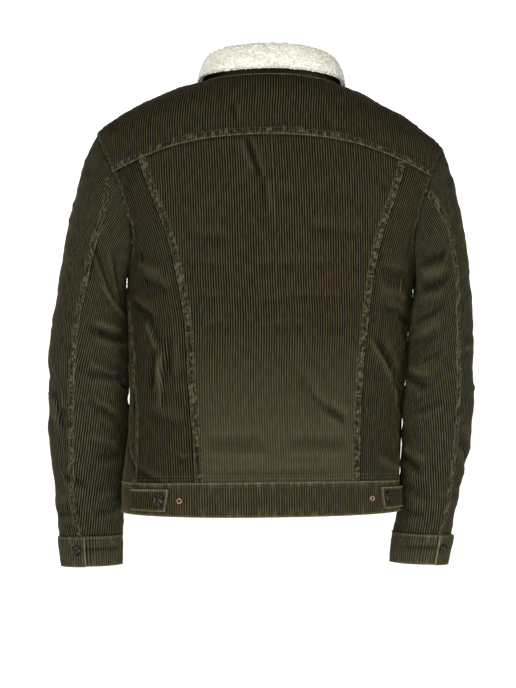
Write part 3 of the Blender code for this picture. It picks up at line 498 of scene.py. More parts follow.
def armhole_line(side, clocks):
    """Armhole as (distance, level) at the given clock angles."""
    angle, level = armhole_at(side, np.asarray(clocks, float))
    return np.stack([distance_of(angle, level), level], axis=-1)


def sleeve_ring(side, clock, way):
    """Sleeve surface from its table alone."""
    table = SLEEVES[side]
    out_x, out_z, in_x, in_z, mid_y, deep, power = (
        smooth(table, k, way) for k in range(1, 8))
    c, s = oval(clock, power)
    return np.stack([(out_x + in_x) / 2 + (out_x - in_x) / 2 * c,
                     mid_y - deep * s,
                     (out_z + in_z) / 2 + (out_z - in_z) / 2 * c], axis=-1)


def sleeve_at(side, clock, way):
    """Sleeve surface, starting in the armhole and easing into its table's rings."""
    clock, way = np.broadcast_arrays(np.asarray(clock, float), np.asarray(way, float))
    angle, level = armhole_at(side, clock)
    seam = body_at(angle, level)
    seam[..., 0] += -0.6 if side == "left" else 0.6
    ease = np.clip(1.0 - way / BLEND, 0.0, 1.0)[..., None]
    ease = ease * ease * (3 - 2 * ease)
    return sleeve_ring(side, clock, way) + ease * (seam - sleeve_ring(side, clock, 0.0))


def sleeve_point(side, clock, way, lift=0.0):
    """Outer surface of a sleeve and its normal, with folds, moved out by lift."""
    across = sleeve_at(side, clock + 1.0, way) - sleeve_at(side, clock - 1.0, way)
    along = (sleeve_at(side, clock, np.minimum(way + 0.003, 1.0))
             - sleeve_at(side, clock, np.maximum(way - 0.003, 0.0)))
    normal = np.cross(along, across) if side == "left" else np.cross(across, along)
    normal /= np.linalg.norm(normal, axis=-1, keepdims=True)
    turn = np.mod(clock + 80.0, 360.0) - 80.0
    calm = np.clip(way / 0.06, 0.0, 1.0) * np.clip((1.02 - way) / 0.06, 0.3, 1.0)
    folds = fold_height(turn, way, SLEEVE_FOLDS[side], 1.0, ARM)
    uneven = wrinkle(turn * 1.1, way * ARM, 11.0 if side == "left" else 17.0)
    lift = np.asarray(lift + calm * (folds + 1.6 * uneven))[..., None]
    return sleeve_at(side, clock, way) + normal * lift, normal


def cuff_point(side, clock, down, lift=0.0):
    """Outer surface of a cuff and its normal: the sleeve's last ring carried down."""
    middle = (sleeve_ring(side, 0.0, 1.0) + sleeve_ring(side, 180.0, 1.0)) / 2

    def at(clock, down):
        shift = np.stack([smooth(CUFF, 2 if side == "left" else 3, down),
                          smooth(CUFF, 4, down), -np.asarray(down, float)], axis=-1)
        ring = sleeve_ring(side, clock, 1.0)
        return middle + (ring - middle) * smooth(CUFF, 1, down)[..., None] + shift

    across = at(clock + 1.0, down) - at(clock - 1.0, down)
    along = at(clock, np.minimum(down + 1.0, 42.0)) - at(clock, np.maximum(down - 1.0, 0.0))
    normal = np.cross(along, across) if side == "left" else np.cross(across, along)
    normal /= np.linalg.norm(normal, axis=-1, keepdims=True)
    return at(clock, down) + normal * np.asarray(lift)[..., None], normal


def collar_point(angle, way, out):
    """Collar surface: way runs up the stand, over the crest and down the fall."""
    ring = body_at(angle, NECK)
    step = body_at(angle + 1.0, NECK) - body_at(angle - 1.0, NECK)
    across = np.stack([step[..., 1], -step[..., 0], 0 * step[..., 0]], axis=-1)
    across /= np.linalg.norm(across, axis=-1, keepdims=True)
    turn = np.abs(angle)
    r = [0 * turn] + [smooth(COLLAR, k, turn) for k in (1, 3, 5, 7)]
    base = 0.6 + 2.4 * np.clip((turn - 80.0) / 60.0, 0.0, 1.0)
    z = [base] + [smooth(COLLAR, k, turn) for k in (2, 4, 6, 8)]

    def path(at):
        i = np.clip((at * 4).astype(int), 0, 3)
        u = at * 4 - i
        v = 1 - u
        spots = []
        for values in (np.stack(r), np.stack(z)):
            slopes = np.gradient(values, axis=0)
            low, high, a, b = (np.take_along_axis(rows, k[None], 0)[0] for rows, k in (
                (values, i), (values, i + 1), (slopes, i), (slopes, i + 1)))
            spots.append(low * (1 + 2 * u) * v * v + high * (1 + 2 * v) * u * u
                         + u * v * (a * v - b * u))
        return np.stack(spots)

    here = path(way)
    run = path(np.minimum(way + 0.01, 1.0)) - path(np.maximum(way - 0.01, 0.0))
    run /= np.linalg.norm(run, axis=0)
    spot = here + np.stack([-run[1], run[0]]) * out
    up = np.array([0.0, 0.0, 1.0])
    return ring + across * spot[0][..., None] + up * spot[1][..., None]


class Cloth:
    """Gathers grids of points into one smooth mesh with a wale map and a tone."""

    def __init__(self, name, material):
        self.name, self.material = name, material
        self.points, self.faces, self.maps, self.tones = [], [], [], []
        self.count = 0

    def add(self, points, faces, maps=None, tones=None):
        """Add loose points and faces; maps are (across, along), tones (crest share, paling from worn
        pile and painted highlight, painted shade).
        """
        size = len(points)
        self.points.append(points)
        self.faces.append(faces + self.count)
        self.maps.append(np.zeros((size, 2)) if maps is None else maps)
        self.tones.append(np.tile([0.6, 0.0, 0.0], (size, 1)) if tones is None else tones)
        self.count += size

    def grid(self, points, normals, across, along, tones, turned_in=0.0, closed=None):
        """Add a grid, facing its normals; its edges are turned in, or it gets a back."""
        across, along = np.broadcast_arrays(across, along)
        maps = np.stack([across, along], axis=-1)
        if turned_in:
            points, normals, maps, tones = (
                np.pad(a, ((1, 1), (1, 1), (0, 0)), mode="edge")
                for a in (points, normals, maps, tones))
            rim = np.ones(points.shape[:2], bool)
            rim[1:-1, 1:-1] = False
            points[rim] -= normals[rim] * turned_in
            # The turned-in rim gets the valley colour and full painted shade.
            tones[rim] = [0.0, 0.0, 1.0]
        rows, columns = points.shape[:2]
        index = np.arange(rows * columns).reshape(rows, columns)
        faces = np.stack([index[:-1, :-1], index[:-1, 1:], index[1:, 1:], index[1:, :-1]],
                         axis=-1).reshape(-1, 4)
        i, j = rows // 2 - 1, columns // 2 - 1
        facing = np.cross(points[i, j + 1] - points[i, j], points[i + 1, j] - points[i, j])
        outward = facing @ normals[i, j] > 0
        if closed is not None:
            faces = np.concatenate([faces, faces[:, ::-1] + rows * columns])
            rims = []
            for line in (index[0, ::-1], index[-1], index[:, 0], index[::-1, -1]):
                other = line + rows * columns
                rims.append(np.stack([line[:-1], line[1:], other[1:], other[:-1]], axis=-1))
            faces = np.concatenate([faces, *rims])
            points = np.concatenate([points.reshape(-1, 3), closed.reshape(-1, 3)])
            maps = np.concatenate([maps.reshape(-1, 2)] * 2)
            tones = np.concatenate([tones.reshape(-1, 3)] * 2)
        faces = faces if outward else faces[:, ::-1]
        self.add(points.reshape(-1, 3), faces, maps.reshape(-1, 2), tones.reshape(-1, 3))

    def finish(self, slot, *nodes):
        """Make the object, ride it on the root and let it stand for its CAD nodes."""
        points = np.concatenate(self.points) * MM
        maps, tones = np.concatenate(self.maps), np.concatenate(self.tones)
        corners = np.concatenate([f.ravel() for f in self.faces]).astype(np.int32)
        sides = np.concatenate([np.full(len(f), f.shape[1]) for f in self.faces])
        mesh = bpy.data.meshes.new(self.name)
        mesh.vertices.add(len(points))
        mesh.vertices.foreach_set("co", points.ravel())
        mesh.loops.add(len(corners))
        mesh.loops.foreach_set("vertex_index", corners)
        mesh.polygons.add(len(sides))
        starts = np.concatenate([[0], np.cumsum(sides)[:-1]]).astype(np.int32)
        mesh.polygons.foreach_set("loop_start", starts)
        mesh.update(calc_edges=True)
        mesh.validate()
        mesh.polygons.foreach_set("use_smooth", np.ones(len(mesh.polygons), bool))
        layer = mesh.uv_layers.new(name="wale_map")
        layer.data.foreach_set("uv", (maps[corners] * MM * 10).ravel())
        tone = mesh.color_attributes.new("tone", "FLOAT_COLOR", "POINT")
        tone.data.foreach_set("color", np.c_[tones, np.ones(len(tones))].ravel())
        mesh.materials.append(self.material)
        thing = bpy.data.objects.new(self.name, mesh)
        bpy.context.scene.collection.objects.link(thing)
        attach(thing, "root")
        if nodes:
            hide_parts(*nodes)
        return thing


def rib(across):
    """Height of the corduroy's ribs, from 0 in a valley to 1 on a crest."""
    return (0.5 + 0.5 * np.cos(2 * math.pi * across / WALE)) ** 0.7


def rib_lift(across, along, share=1.0):
    """Lift of the ribs, a little uneven as worn pile is."""
    worn = 1.0 + 0.18 * noise(across / 5.0, along / 16.0, 21.0)
    return RIB * share * (rib(across) * worn - 0.5)


def tones_of(across, wear_and_highlight=0.0, dark=0.0):
    """Tone of the cloth: crest of a rib, paling from worn pile and painted highlight, and painted
    shade in a fold or a seam.
    """
    across, wear_and_highlight, dark = np.broadcast_arrays(across, wear_and_highlight, dark)
    return np.stack([rib(across) ** 4.0, np.clip(wear_and_highlight, 0, 1), np.clip(dark, 0, 1)], axis=-1)


def bump_of(table, u, v, scale_u, scale_v, share):
    """Paling and painted shade of the narrow folds: raised pile is paler, worn pile with painted
    highlight, and a trough gets painted shade.
    """
    height = fold_height(u, v, [f for f in table if f[4] < 9.5], scale_u, scale_v)
    return np.clip(height * share, 0, 1), np.clip(-4 * height * share, 0, 0.75)


def rows_between(low, high, spacing, near_low=(), near_high=()):
    """Rows from low to high in every column, closer where near_low and near_high say."""
    length = np.maximum(high - low, 0.01)
    longest = float(length.max())
    near_low, near_high = np.asarray(near_low), np.asarray(near_high)
    first = near_low[-1] if len(near_low) else 0.0
    last = near_high[-1] if len(near_high) else 0.0
    count = max(int((longest - first - last) / spacing), 1) + 1
    shrink = np.minimum(1.0, length / (1.6 * (first + last) + 1e-6))
    lows = near_low[:-1, None] * shrink if len(near_low) else np.zeros((0, len(low)))
    highs = near_high[:-1, None] * shrink if len(near_high) else np.zeros((0, len(low)))
    share = np.linspace(0.0, 1.0, count)[:, None]
    start, end = low + first * shrink, high - last * shrink
    middle = start + (end - start) * share
    return np.concatenate([low + lows, middle, (high - highs)[::-1]])


SEAM_ROWS = (0.0, 1.0, 1.9, 2.8, 4.0, 5.6, 7.2, 8.4, 9.4, 10.6, 12.5)
DRAWN_ROWS = (0.0, 1.5, 3.2, 5.5)


def chain(points, mapping):
    """Boundary as (across, level) in the panel's own coordinates."""
    points = np.asarray(points, float)
    return np.stack([mapping(points[:, 0], points[:, 1]), points[:, 1]], axis=-1)


def columns_between(first, last, step):
    """Columns of a panel, whole steps of the ribs, with both ends."""
    inside = np.arange(math.ceil(first / step + 0.2), math.floor(last / step - 0.2) + 1) * step
    return np.concatenate([[first], inside, [last]])


def yoke_level(distance):
    """Level of the yoke seam."""
    return smooth(YOKE_SEAM, 1, np.abs(distance))


def panel_seam(level):
    """Distance of the slanted seam from the centre back."""
    return smooth(PANEL_SEAM, 1, level)


def side_distance(sign, level):
    """Distance of the side seam from the centre back, as a plus number."""
    return np.abs(distance_of(sign * smooth(SIDE_SEAM, 1, level), level))


def shoulder_chain(side):
    """Shoulder seam from the armhole to the neck, as (distance, level), distances plus."""
    sign = -1.0 if side == "left" else 1.0
    levels = np.linspace(-42.0, NECK, 40)
    return np.stack([np.abs(distance_of(sign * 90.0, levels)), levels], axis=-1)


YOKE_END = 62.0       # clock angle where the yoke seam runs into the armhole
SIDES = {"left": -1, "right": 1}


def plus(points):
    """The same points with their distances made plus."""
    return np.stack([np.abs(points[:, 0]), points[:, 1]], axis=-1)


def yoke_chains():
    """Lower and upper edges of the yoke."""
    lows, highs = {}, {}
    for side in SIDES:
        hole = plus(armhole_line(side, np.linspace(YOKE_END, 0.0, 40)))
        seam = np.linspace(0.0, hole[0, 0], 50)[:-1]
        lows[side] = np.concatenate([np.stack([seam, yoke_level(seam)], axis=-1), hole])
        edge = shoulder_chain(side)[::-1]
        highs[side] = np.concatenate([[[0.0, NECK]], edge])
    mirror = [-1.0, 1.0]
    low = np.concatenate([lows["left"][:0:-1] * mirror, lows["right"]])
    high = np.concatenate([highs["left"][:0:-1] * mirror, highs["right"]])
    return low, high


def centre_chains():
    """Lower and upper edges of the centre back panel; its slanted sides are lower edges."""
    levels = np.linspace(BAND_TOP, -93.4, 80)
    seam = np.stack([panel_seam(levels), levels], axis=-1)
    low = np.concatenate([seam[::-1] * [-1.0, 1.0], seam])
    across = np.linspace(-seam[-1, 0], seam[-1, 0], 80)
    return low, np.stack([across, yoke_level(across)], axis=-1)

def side_across(distance, level):
    """Rib coordinate of a side panel, whose ribs run parallel to the slanted seam."""
    return np.abs(distance) - (panel_seam(level) - PANEL_FOOT)


def side_back(across, level):
    """Distance from the centre back at a rib coordinate of a side panel."""
    return across + (panel_seam(level) - PANEL_FOOT)


def side_chains(side):
    """Lower and upper edges of a side back panel, as (rib coordinate, level)."""
    sign = SIDES[side]
    levels = np.linspace(-93.4, BAND_TOP, 80)
    seam = np.stack([panel_seam(levels), levels], axis=-1)
    up = np.linspace(BAND_TOP, -250.0, 60)
    outer = np.stack([side_distance(sign, up), up], axis=-1)
    low = chain(np.concatenate([seam, outer]), side_across)
    hole = plus(armhole_line(side, np.linspace(YOKE_END, 180.0, 60)))
    across = np.linspace(seam[0, 0], hole[0, 0], 20)
    top = np.stack([across, yoke_level(across)], axis=-1)
    high = chain(np.concatenate([top, hole]), side_across)
    low[:, 0] = np.maximum.accumulate(low[:, 0])
    high[:, 0] = np.maximum.accumulate(high[:, 0])
    return low, high


def front_chains(side):
    """Edges of a front panel in three stretches, as (distance from the front, level)."""
    sign = SIDES[side]

    def apart(distance, level):
        return half_girth(sign, level) - np.abs(distance)

    hole = chain(armhole_line(side, np.linspace(180.0, 360.0, 91)), apart)
    near = int(hole[:, 0].argmin())
    split = hole[near, 0]
    shoulder = chain(shoulder_chain(side), apart)
    neck = np.array([[0.0, NECK], [shoulder[-1, 0], NECK]])
    top = np.concatenate([neck, shoulder[::-1][1:]])
    levels = np.linspace(-250.0, BAND_TOP, 60)
    seam = np.stack([side_distance(sign, levels), levels], axis=-1)
    seam = chain(seam, apart)
    seam[:, 0] = np.maximum.accumulate(seam[:, 0])
    below = np.concatenate([hole[:near + 1][::-1], seam])
    over = hole[near:]
    bottom = np.array([[0.0, BAND_TOP], [400.0, BAND_TOP]])
    return [(0.0, split, bottom, top), (split, seam[-1, 0], bottom, below),
            (split, over[-1, 0], over, top)]


def across_chains(columns, low, high):
    """Levels of a panel's lower and upper edges at its columns."""
    return (np.interp(columns, low[:, 0], low[:, 1]), np.interp(columns, high[:, 0], high[:, 1]))


def make_material(name):
    """Empty Principled material with its nodes at hand."""
    made = bpy.data.materials.new(name)
    made.use_nodes = True
    tree = made.node_tree
    return made, tree, tree.nodes["Principled BSDF"]


def node(tree, kind, **values):
    """Add a node; values whose names are sockets are set on them."""
    made = tree.nodes.new(kind)
    for key, value in values.items():
        if key in made.inputs:
            made.inputs[key].default_value = value
        else:
            setattr(made, key, value)
    return made


def mixed(tree, share, first, second, mode="MIX"):
    """Mix two colours; each of the three may be a socket or a value."""
    made = tree.nodes.new("ShaderNodeMix")
    made.data_type, made.blend_type = "RGBA", mode
    for socket, value in ((made.inputs[0], share), (made.inputs[6], first),
                          (made.inputs[7], second)):
        if isinstance(value, bpy.types.NodeSocket):
            tree.links.new(value, socket)
        else:
            socket.default_value = value
    return made.outputs[2]


def ramp(tree, source, low, high):
    """Share that goes from 0 at low to 1 at high."""
    made = tree.nodes.new("ShaderNodeMapRange")
    made.inputs["From Min"].default_value = low
    made.inputs["From Max"].default_value = high
    tree.links.new(source, made.inputs["Value"])
    return made.outputs["Result"]


def speckle(tree, vector, scale, detail=3.0, stretch=(1.0, 1.0, 1.0)):
    """Noise over a vector, drawn out by stretch."""
    mapping = node(tree, "ShaderNodeMapping", Scale=stretch)
    tree.links.new(vector, mapping.inputs["Vector"])
    made = node(tree, "ShaderNodeTexNoise", Scale=scale, Detail=detail)
    tree.links.new(mapping.outputs["Vector"], made.inputs["Vector"])
    return made.outputs["Fac"]


def corduroy(name, valley, crest, worn, brown):
    """Corduroy: painted shade in the valleys, paler crests, paling from worn pile and painted
    highlight, painted shade in folds and seams, with uneven brown and green.
    """
    made, tree, shader = make_material(name)
    tone = node(tree, "ShaderNodeVertexColor", layer_name="tone")
    parts = node(tree, "ShaderNodeSeparateColor")
    tree.links.new(tone.outputs["Color"], parts.inputs["Color"])
    place = node(tree, "ShaderNodeTexCoord").outputs["Object"]
    flat = node(tree, "ShaderNodeUVMap", uv_map="wale_map").outputs["UV"]
    pile = speckle(tree, flat, 22.0, 4.0, (1.0, 0.28, 1.0))
    patch = speckle(tree, place, 17.0, 3.0)
    # Red tone: crest colour on the rib crests, painted valley shade between them.
    colour = mixed(tree, parts.outputs["Red"], valley, crest)
    colour = mixed(tree, ramp(tree, patch, 0.42, 0.62), colour,
                   mixed(tree, 1.0, colour, brown, "MULTIPLY"))
    colour = mixed(tree, ramp(tree, pile, 0.30, 0.75), mixed(tree, 1.0, colour,
                   (0.62, 0.62, 0.62, 1.0), "MULTIPLY"), mixed(tree, 1.0, colour,
                   (1.36, 1.36, 1.36, 1.0), "MULTIPLY"))
    # Green tone: paling from worn pile and painted highlight on puckers and raised edges.
    colour = mixed(tree, parts.outputs["Green"], colour, worn)
    # Blue tone: painted shade, darkening the colour towards 0.16 of itself.
    colour = mixed(tree, parts.outputs["Blue"], colour, mixed(
        tree, 1.0, colour, (0.16, 0.16, 0.16, 1.0), "MULTIPLY"))
    tree.links.new(colour, shader.inputs["Base Color"])
    fuzz = speckle(tree, flat, 90.0, 3.0, (1.0, 0.5, 1.0))
    rough = ramp(tree, fuzz, -1.2, 1.0)
    tree.links.new(rough, shader.inputs["Roughness"])
    bump = node(tree, "ShaderNodeBump", Strength=0.45, Distance=0.0006)
    tree.links.new(fuzz, bump.inputs["Height"])
    tree.links.new(bump.outputs["Normal"], shader.inputs["Normal"])
    shader.inputs["Specular IOR Level"].default_value = 0.06
    shader.inputs["Sheen Weight"].default_value = 0.05
    shader.inputs["Sheen Roughness"].default_value = 0.35
    shader.inputs["Sheen Tint"].default_value = (0.70, 0.68, 0.42, 1.0)
    return made


def sherpa_material():
    """Cream curly pile: paler tips, warmer and darker between the curls."""
    made, tree, shader = make_material("sherpa_pile")
    place = node(tree, "ShaderNodeTexCoord").outputs["Object"]
    curl = speckle(tree, place, 330.0, 4.0)
    patch = speckle(tree, place, 40.0, 2.0)
    colour = mixed(tree, ramp(tree, curl, 0.30, 0.62), (0.52, 0.49, 0.40, 1.0),
                   (0.80, 0.79, 0.72, 1.0))
    colour = mixed(tree, ramp(tree, patch, 0.40, 0.75), colour,
                   mixed(tree, 1.0, colour, (0.93, 0.90, 0.82, 1.0), "MULTIPLY"))
    tree.links.new(colour, shader.inputs["Base Color"])
    fine = speckle(tree, place, 1500.0, 3.0)
    bump = node(tree, "ShaderNodeBump", Strength=0.5, Distance=0.0006)
    tree.links.new(fine, bump.inputs["Height"])
    tree.links.new(bump.outputs["Normal"], shader.inputs["Normal"])
    tree.links.new(ramp(tree, fine, -2.0, 1.0), shader.inputs["Roughness"])
    shader.inputs["Specular IOR Level"].default_value = 0.15
    shader.inputs["Sheen Weight"].default_value = 0.25
    shader.inputs["Sheen Roughness"].default_value = 0.6
    return made


def lining_material():
    """Plain woven sleeve lining, dark and a little glossy."""
    made, tree, shader = make_material("sleeve_lining")
    flat = node(tree, "ShaderNodeUVMap", uv_map="wale_map").outputs["UV"]
    weave = node(tree, "ShaderNodeTexWave", Scale=38.0, Distortion=1.5)
    tree.links.new(flat, weave.inputs["Vector"])
    colour = mixed(tree, weave.outputs["Fac"], (0.020, 0.019, 0.016, 1.0),
                   (0.034, 0.031, 0.026, 1.0))
    tree.links.new(colour, shader.inputs["Base Color"])
    cloud = speckle(tree, flat, 6.0)
    tree.links.new(ramp(tree, cloud, -0.2, 1.4), shader.inputs["Roughness"])
    bump = node(tree, "ShaderNodeBump", Strength=0.2, Distance=0.0003)
    tree.links.new(weave.outputs["Fac"], bump.inputs["Height"])
    tree.links.new(bump.outputs["Normal"], shader.inputs["Normal"])
    return made


def thread_material():
    """Olive sewing thread, twisted."""
    made, tree, shader = make_material("thread")
    place = node(tree, "ShaderNodeTexCoord").outputs["Object"]
    twist = speckle(tree, place, 900.0, 2.0)
    colour = mixed(tree, twist, (0.040, 0.034, 0.019, 1.0), (0.13, 0.115, 0.072, 1.0))
    tree.links.new(colour, shader.inputs["Base Color"])
    tree.links.new(ramp(tree, twist, -1.0, 1.3), shader.inputs["Roughness"])
    shader.inputs["Specular IOR Level"].default_value = 0.3
    return made


def metal_material(name, dark, pale, roughness):
    """Worn metal: paler where it has rubbed, with fine scratches."""
    made, tree, shader = make_material(name)
    place = node(tree, "ShaderNodeTexCoord").outputs["Object"]
    rub = speckle(tree, place, 420.0, 4.0)
    colour = mixed(tree, ramp(tree, rub, 0.45, 0.72), dark, pale)
    tree.links.new(colour, shader.inputs["Base Color"])
    scratch = speckle(tree, place, 1200.0, 2.0, (1.0, 1.0, 0.15))
    tree.links.new(ramp(tree, scratch, -1.5 * (1 - roughness), 1.6), shader.inputs["Roughness"])
    bump = node(tree, "ShaderNodeBump", Strength=0.15, Distance=0.0002)
    tree.links.new(scratch, bump.inputs["Height"])
    tree.links.new(bump.outputs["Normal"], shader.inputs["Normal"])
    shader.inputs["Metallic"].default_value = 1.0
    return made


# Near-black colour of the rib valleys: painted shade.
VALLEY_PAINTED_SHADE = (0.0010, 0.0008, 0.0004, 1.0)
CREST = (0.068, 0.0570, 0.0275, 1.0)
# Paler colour of the green tone: worn pile, and painted highlight on puckers and raised edges.
WORN_AND_HIGHLIGHT = (0.185, 0.162, 0.092, 1.0)
BROWN = (1.04, 0.91, 0.84, 1.0)
GREEN = (0.88, 0.98, 0.90, 1.0)
CORD = corduroy("corduroy_body", VALLEY_PAINTED_SHADE, CREST, WORN_AND_HIGHLIGHT, BROWN)
# Sleeve copy of the corduroy with a paler crest and greener patches: painted sheen, the sleeves lit
# lighter and greener than the body.
CORD_SLEEVE_PAINTED_SHEEN = corduroy("corduroy_sleeve_painted_sheen", VALLEY_PAINTED_SHADE, (0.080, 0.0710, 0.0385, 1.0), WORN_AND_HIGHLIGHT, GREEN)
SHERPA = sherpa_material()
SLEEVE_LINING = lining_material()
THREAD = thread_material()
BUTTON_METAL = metal_material("button_metal", (0.012, 0.011, 0.010, 1.0),
                              (0.10, 0.09, 0.075, 1.0), 0.42)
RING_METAL = metal_material("ring_metal", (0.30, 0.16, 0.11, 1.0), (0.72, 0.45, 0.34, 1.0), 0.3)


class Stitches:
    """Rows of short thread stitches, joined in one mesh."""

    def __init__(self, name):
        self.cloth = Cloth(name, THREAD)

    def row(self, points, normals):
        """Stitches along a run of points that lie close together."""
        steps = np.concatenate([[0.0], np.cumsum(np.linalg.norm(np.diff(points, axis=0),
                                                                axis=1))])
        count = int(steps[-1] / STITCH)
        if count < 1:
            return
        starts = (np.arange(count) + 0.12) * steps[-1] / count
        stops = starts + 0.76 * steps[-1] / count

        def at(where, source):
            return np.stack([np.interp(where, steps, source[:, k]) for k in range(3)], axis=-1)

        first, last = at(starts, points), at(stops, points)
        normal = at((starts + stops) / 2, normals)
        normal /= np.linalg.norm(normal, axis=1, keepdims=True)
        run = last - first
        side = np.cross(run, normal)
        side /= np.linalg.norm(side, axis=1, keepdims=True)
        rings = []
        for share, radius, rise in ((0.22, 0.34, 0.24), (0.78, 0.34, 0.24)):
            middle = first + run * share + normal * (rise - SINK)
            rings += [middle + side * radius, middle + normal * radius,
                      middle - side * radius, middle - normal * radius]
        tips = [first - normal * (SINK + 0.25), last - normal * (SINK + 0.25)]
        verts = np.stack([*tips, *rings], axis=1).reshape(-1, 3)
        base = np.arange(count)[:, None, None] * 10
        ends = []
        walls = []
        for k in range(4):
            m = (k + 1) % 4
            ends += [[0, 2 + m, 2 + k], [1, 6 + k, 6 + m]]
            walls.append([2 + k, 2 + m, 6 + m, 6 + k])
        self.cloth.add(verts, (base + np.array(ends)).reshape(-1, 3))
        self.cloth.faces.append((base + np.array(walls)).reshape(-1, 4)
                                + self.cloth.count - len(verts))


def resampled(run, spacing):
    """The same run of (u, v) with even, close points."""
    steps = np.concatenate([[0.0], np.cumsum(np.hypot(*np.diff(run, axis=0).T))])
    at = np.arange(0.0, steps[-1] + spacing, spacing)
    at = np.minimum(at, steps[-1])
    return np.stack([np.interp(at, steps, run[:, k]) for k in range(2)], axis=-1), at


# Cross section of a felled seam: share of its width, and lift in shares of its height.
FELL = np.array([
    [0.00, -0.90], [0.03, 0.55], [0.09, 0.95], [0.18, 0.80], [0.26, 0.35], [0.36, 0.85],
    [0.50, 1.00], [0.64, 0.85], [0.74, 0.35], [0.83, 0.75], [0.93, 0.60], [1.00, -0.55],
])


def felled_seam(cloth, stitches, run, inward, point, width=11.0, height=1.5, seed=0.0,
                rows=(0.26, 0.74), wear_and_highlight=0.30):
    """Raised double-stitched seam beside a line on a surface.

    run is the line as (u, v) in millimetres, inward +1 or -1 for the side it lies on,
    and point(u, v, lift) gives the surface.
    """
    run, along = resampled(run, 1.25)
    step = np.gradient(run, axis=0)
    step /= np.linalg.norm(step, axis=1, keepdims=True)
    aside = np.stack([-step[:, 1], step[:, 0]], axis=-1) * inward
    share = FELL[:, 0][None, :]
    u = run[:, :1] + aside[:, :1] * share * width
    v = run[:, 1:] + aside[:, 1:] * share * width
    pucker = noise(along[:, None] / 2.6, share * 3.2, 31.0 + seed)
    swell = noise(along[:, None] / 17.0, share, 41.0 + seed)
    body = np.clip(FELL[:, 1], 0, 1)[None, :]
    lift = FELL[:, 1][None, :] * height + body * (0.75 * pucker + 0.3 * swell) * height
    lift = lift + 0.45 * rib_lift(u, v) * body
    points, normals = point(u, v, lift)
    # Pucker crests are paler, painted highlight, and folded edges paler from worn pile; stitch dips,
    # pucker troughs and the tucked edges get painted shade.
    ridge = np.clip(pucker * 1.8, 0, 1) * body
    edge = np.exp(-((share - 0.05) / 0.06) ** 2) + 0.7 * np.exp(-((share - 0.92) / 0.07) ** 2)
    dip = np.exp(-((share - 0.26) / 0.05) ** 2) + np.exp(-((share - 0.74) / 0.05) ** 2)
    sunk = 0.6 * dip * (1 - ridge) + 0.55 * np.clip(-1.5 * pucker, 0, 1) * body
    tones = tones_of(u, wear_and_highlight * (0.9 * ridge + 0.6 * edge), sunk + (FELL[:, 1] < 0)[None, :])
    cloth.grid(points, normals, u, v, tones)
    for place in rows:
        du = aside * place * width
        spot, normal = point(run[:, 0] + du[:, 0], run[:, 1] + du[:, 1],
                             np.full(len(run), height * 0.42))
        stitches.row(spot, normal)


def stitch_line(stitches, run, point, lift):
    """One row of stitches along a line on a surface."""
    run = resampled(run, 1.5)[0]
    spot, normal = point(run[:, 0], run[:, 1], np.full(len(run), lift))
    stitches.row(spot, normal)


def make_yoke(stitches):
    """Yoke with its folded, double-stitched lower edge and piping at the neck."""
    low, high = yoke_chains()
    columns = columns_between(low[0, 0] + 0.4, low[-1, 0] - 0.4, STEP)
    lows, highs = across_chains(columns, low, high)
    level = rows_between(lows + GAP, highs - GAP, 5.0, SEAM_ROWS, DRAWN_ROWS)
    s = columns[None, :] + 0 * level
    apart = level - lows[None, :]
    on_seam = np.abs(s) < 236.0
    lap = np.where(on_seam, np.clip((12.5 - apart) / 3.0, 0.0, 1.0), 0.0)
    groove = np.exp(-((apart - 2.6) / 0.9) ** 2) + np.exp(-((apart - 8.8) / 0.9) ** 2)
    pucker = noise(s / 2.4, apart / 5.0, 3.0)
    lift = lap * (1.35 + 0.75 * pucker - 0.75 * groove) + rib_lift(s, level, 1.0)
    points, normals = body_point(s, level, lift)
    wear_and_highlight, dark = bump_of(BODY_FOLDS, s, level, 1.0, 1.0, 0.045)
    # On the lap of the yoke seam the puckers and folded edge are paler, painted highlight with worn
    # pile; stitch grooves and pucker troughs get painted shade.
    edge = np.exp(-((apart - 0.6) / 0.9) ** 2)
    wear_and_highlight = wear_and_highlight + lap * (0.02 + 0.40 * np.clip(pucker, 0, 1) + 0.45 * edge)
    dark = dark + lap * (0.6 * groove + 0.5 * np.clip(-pucker, 0, 1))
    cloth = Cloth("yoke_shell", CORD)
    cloth.grid(points, normals, s, level, tones_of(s, wear_and_highlight, dark), turned_in=WALL)
    ends = {side: plus(armhole_line(side, [YOKE_END]))[0, 0] - 4.0 for side in SIDES}
    run = np.linspace(-ends["left"], ends["right"], 300)
    for rise in (2.6, 8.8):
        stitch_line(stitches, np.stack([run, yoke_level(run) + rise], axis=-1), body_point, 0.9)
    neck_piping(cloth)
    return cloth.finish("corduroy", "back_yoke")


def neck_piping(cloth):
    """Raised edge of the neck seam."""
    angle = np.linspace(-88.0, 88.0, 260)[None, :]
    turn = np.linspace(-20.0, 200.0, 7)[:, None]
    out, up = 1.7 * np.cos(np.radians(turn)), 1.3 * np.sin(np.radians(turn))
    base = collar_point(angle + 0 * turn, 0.0 * angle + 0 * turn, 0.0 * angle + 0 * turn)
    middle = body_at(0.0, NECK) * 0.5 + body_at(180.0, NECK) * 0.5
    away = base - middle
    away[..., 2] = 0.0
    away /= np.linalg.norm(away, axis=-1, keepdims=True)
    uneven = 0.25 * noise(angle / 1.6, 0.0, 51.0)
    points = base + away * (1.6 + out + uneven)[..., None]
    points[..., 2] += up + uneven - 0.9
    normals = away * np.cos(np.radians(turn))[..., None]
    normals = normals + np.array([0, 0, 1.0]) * np.sin(np.radians(turn))[..., None]
    # The piping is paler along its raised edge: painted highlight with worn pile.
    wear_and_highlight = 0.25 + 0.25 * np.clip(noise(angle / 1.4, 0.0, 52.0), 0, 1) + 0 * turn
    cloth.grid(points, normals, angle * 1.6, turn, tones_of(angle * 0 + 0 * turn, wear_and_highlight, 0.0))


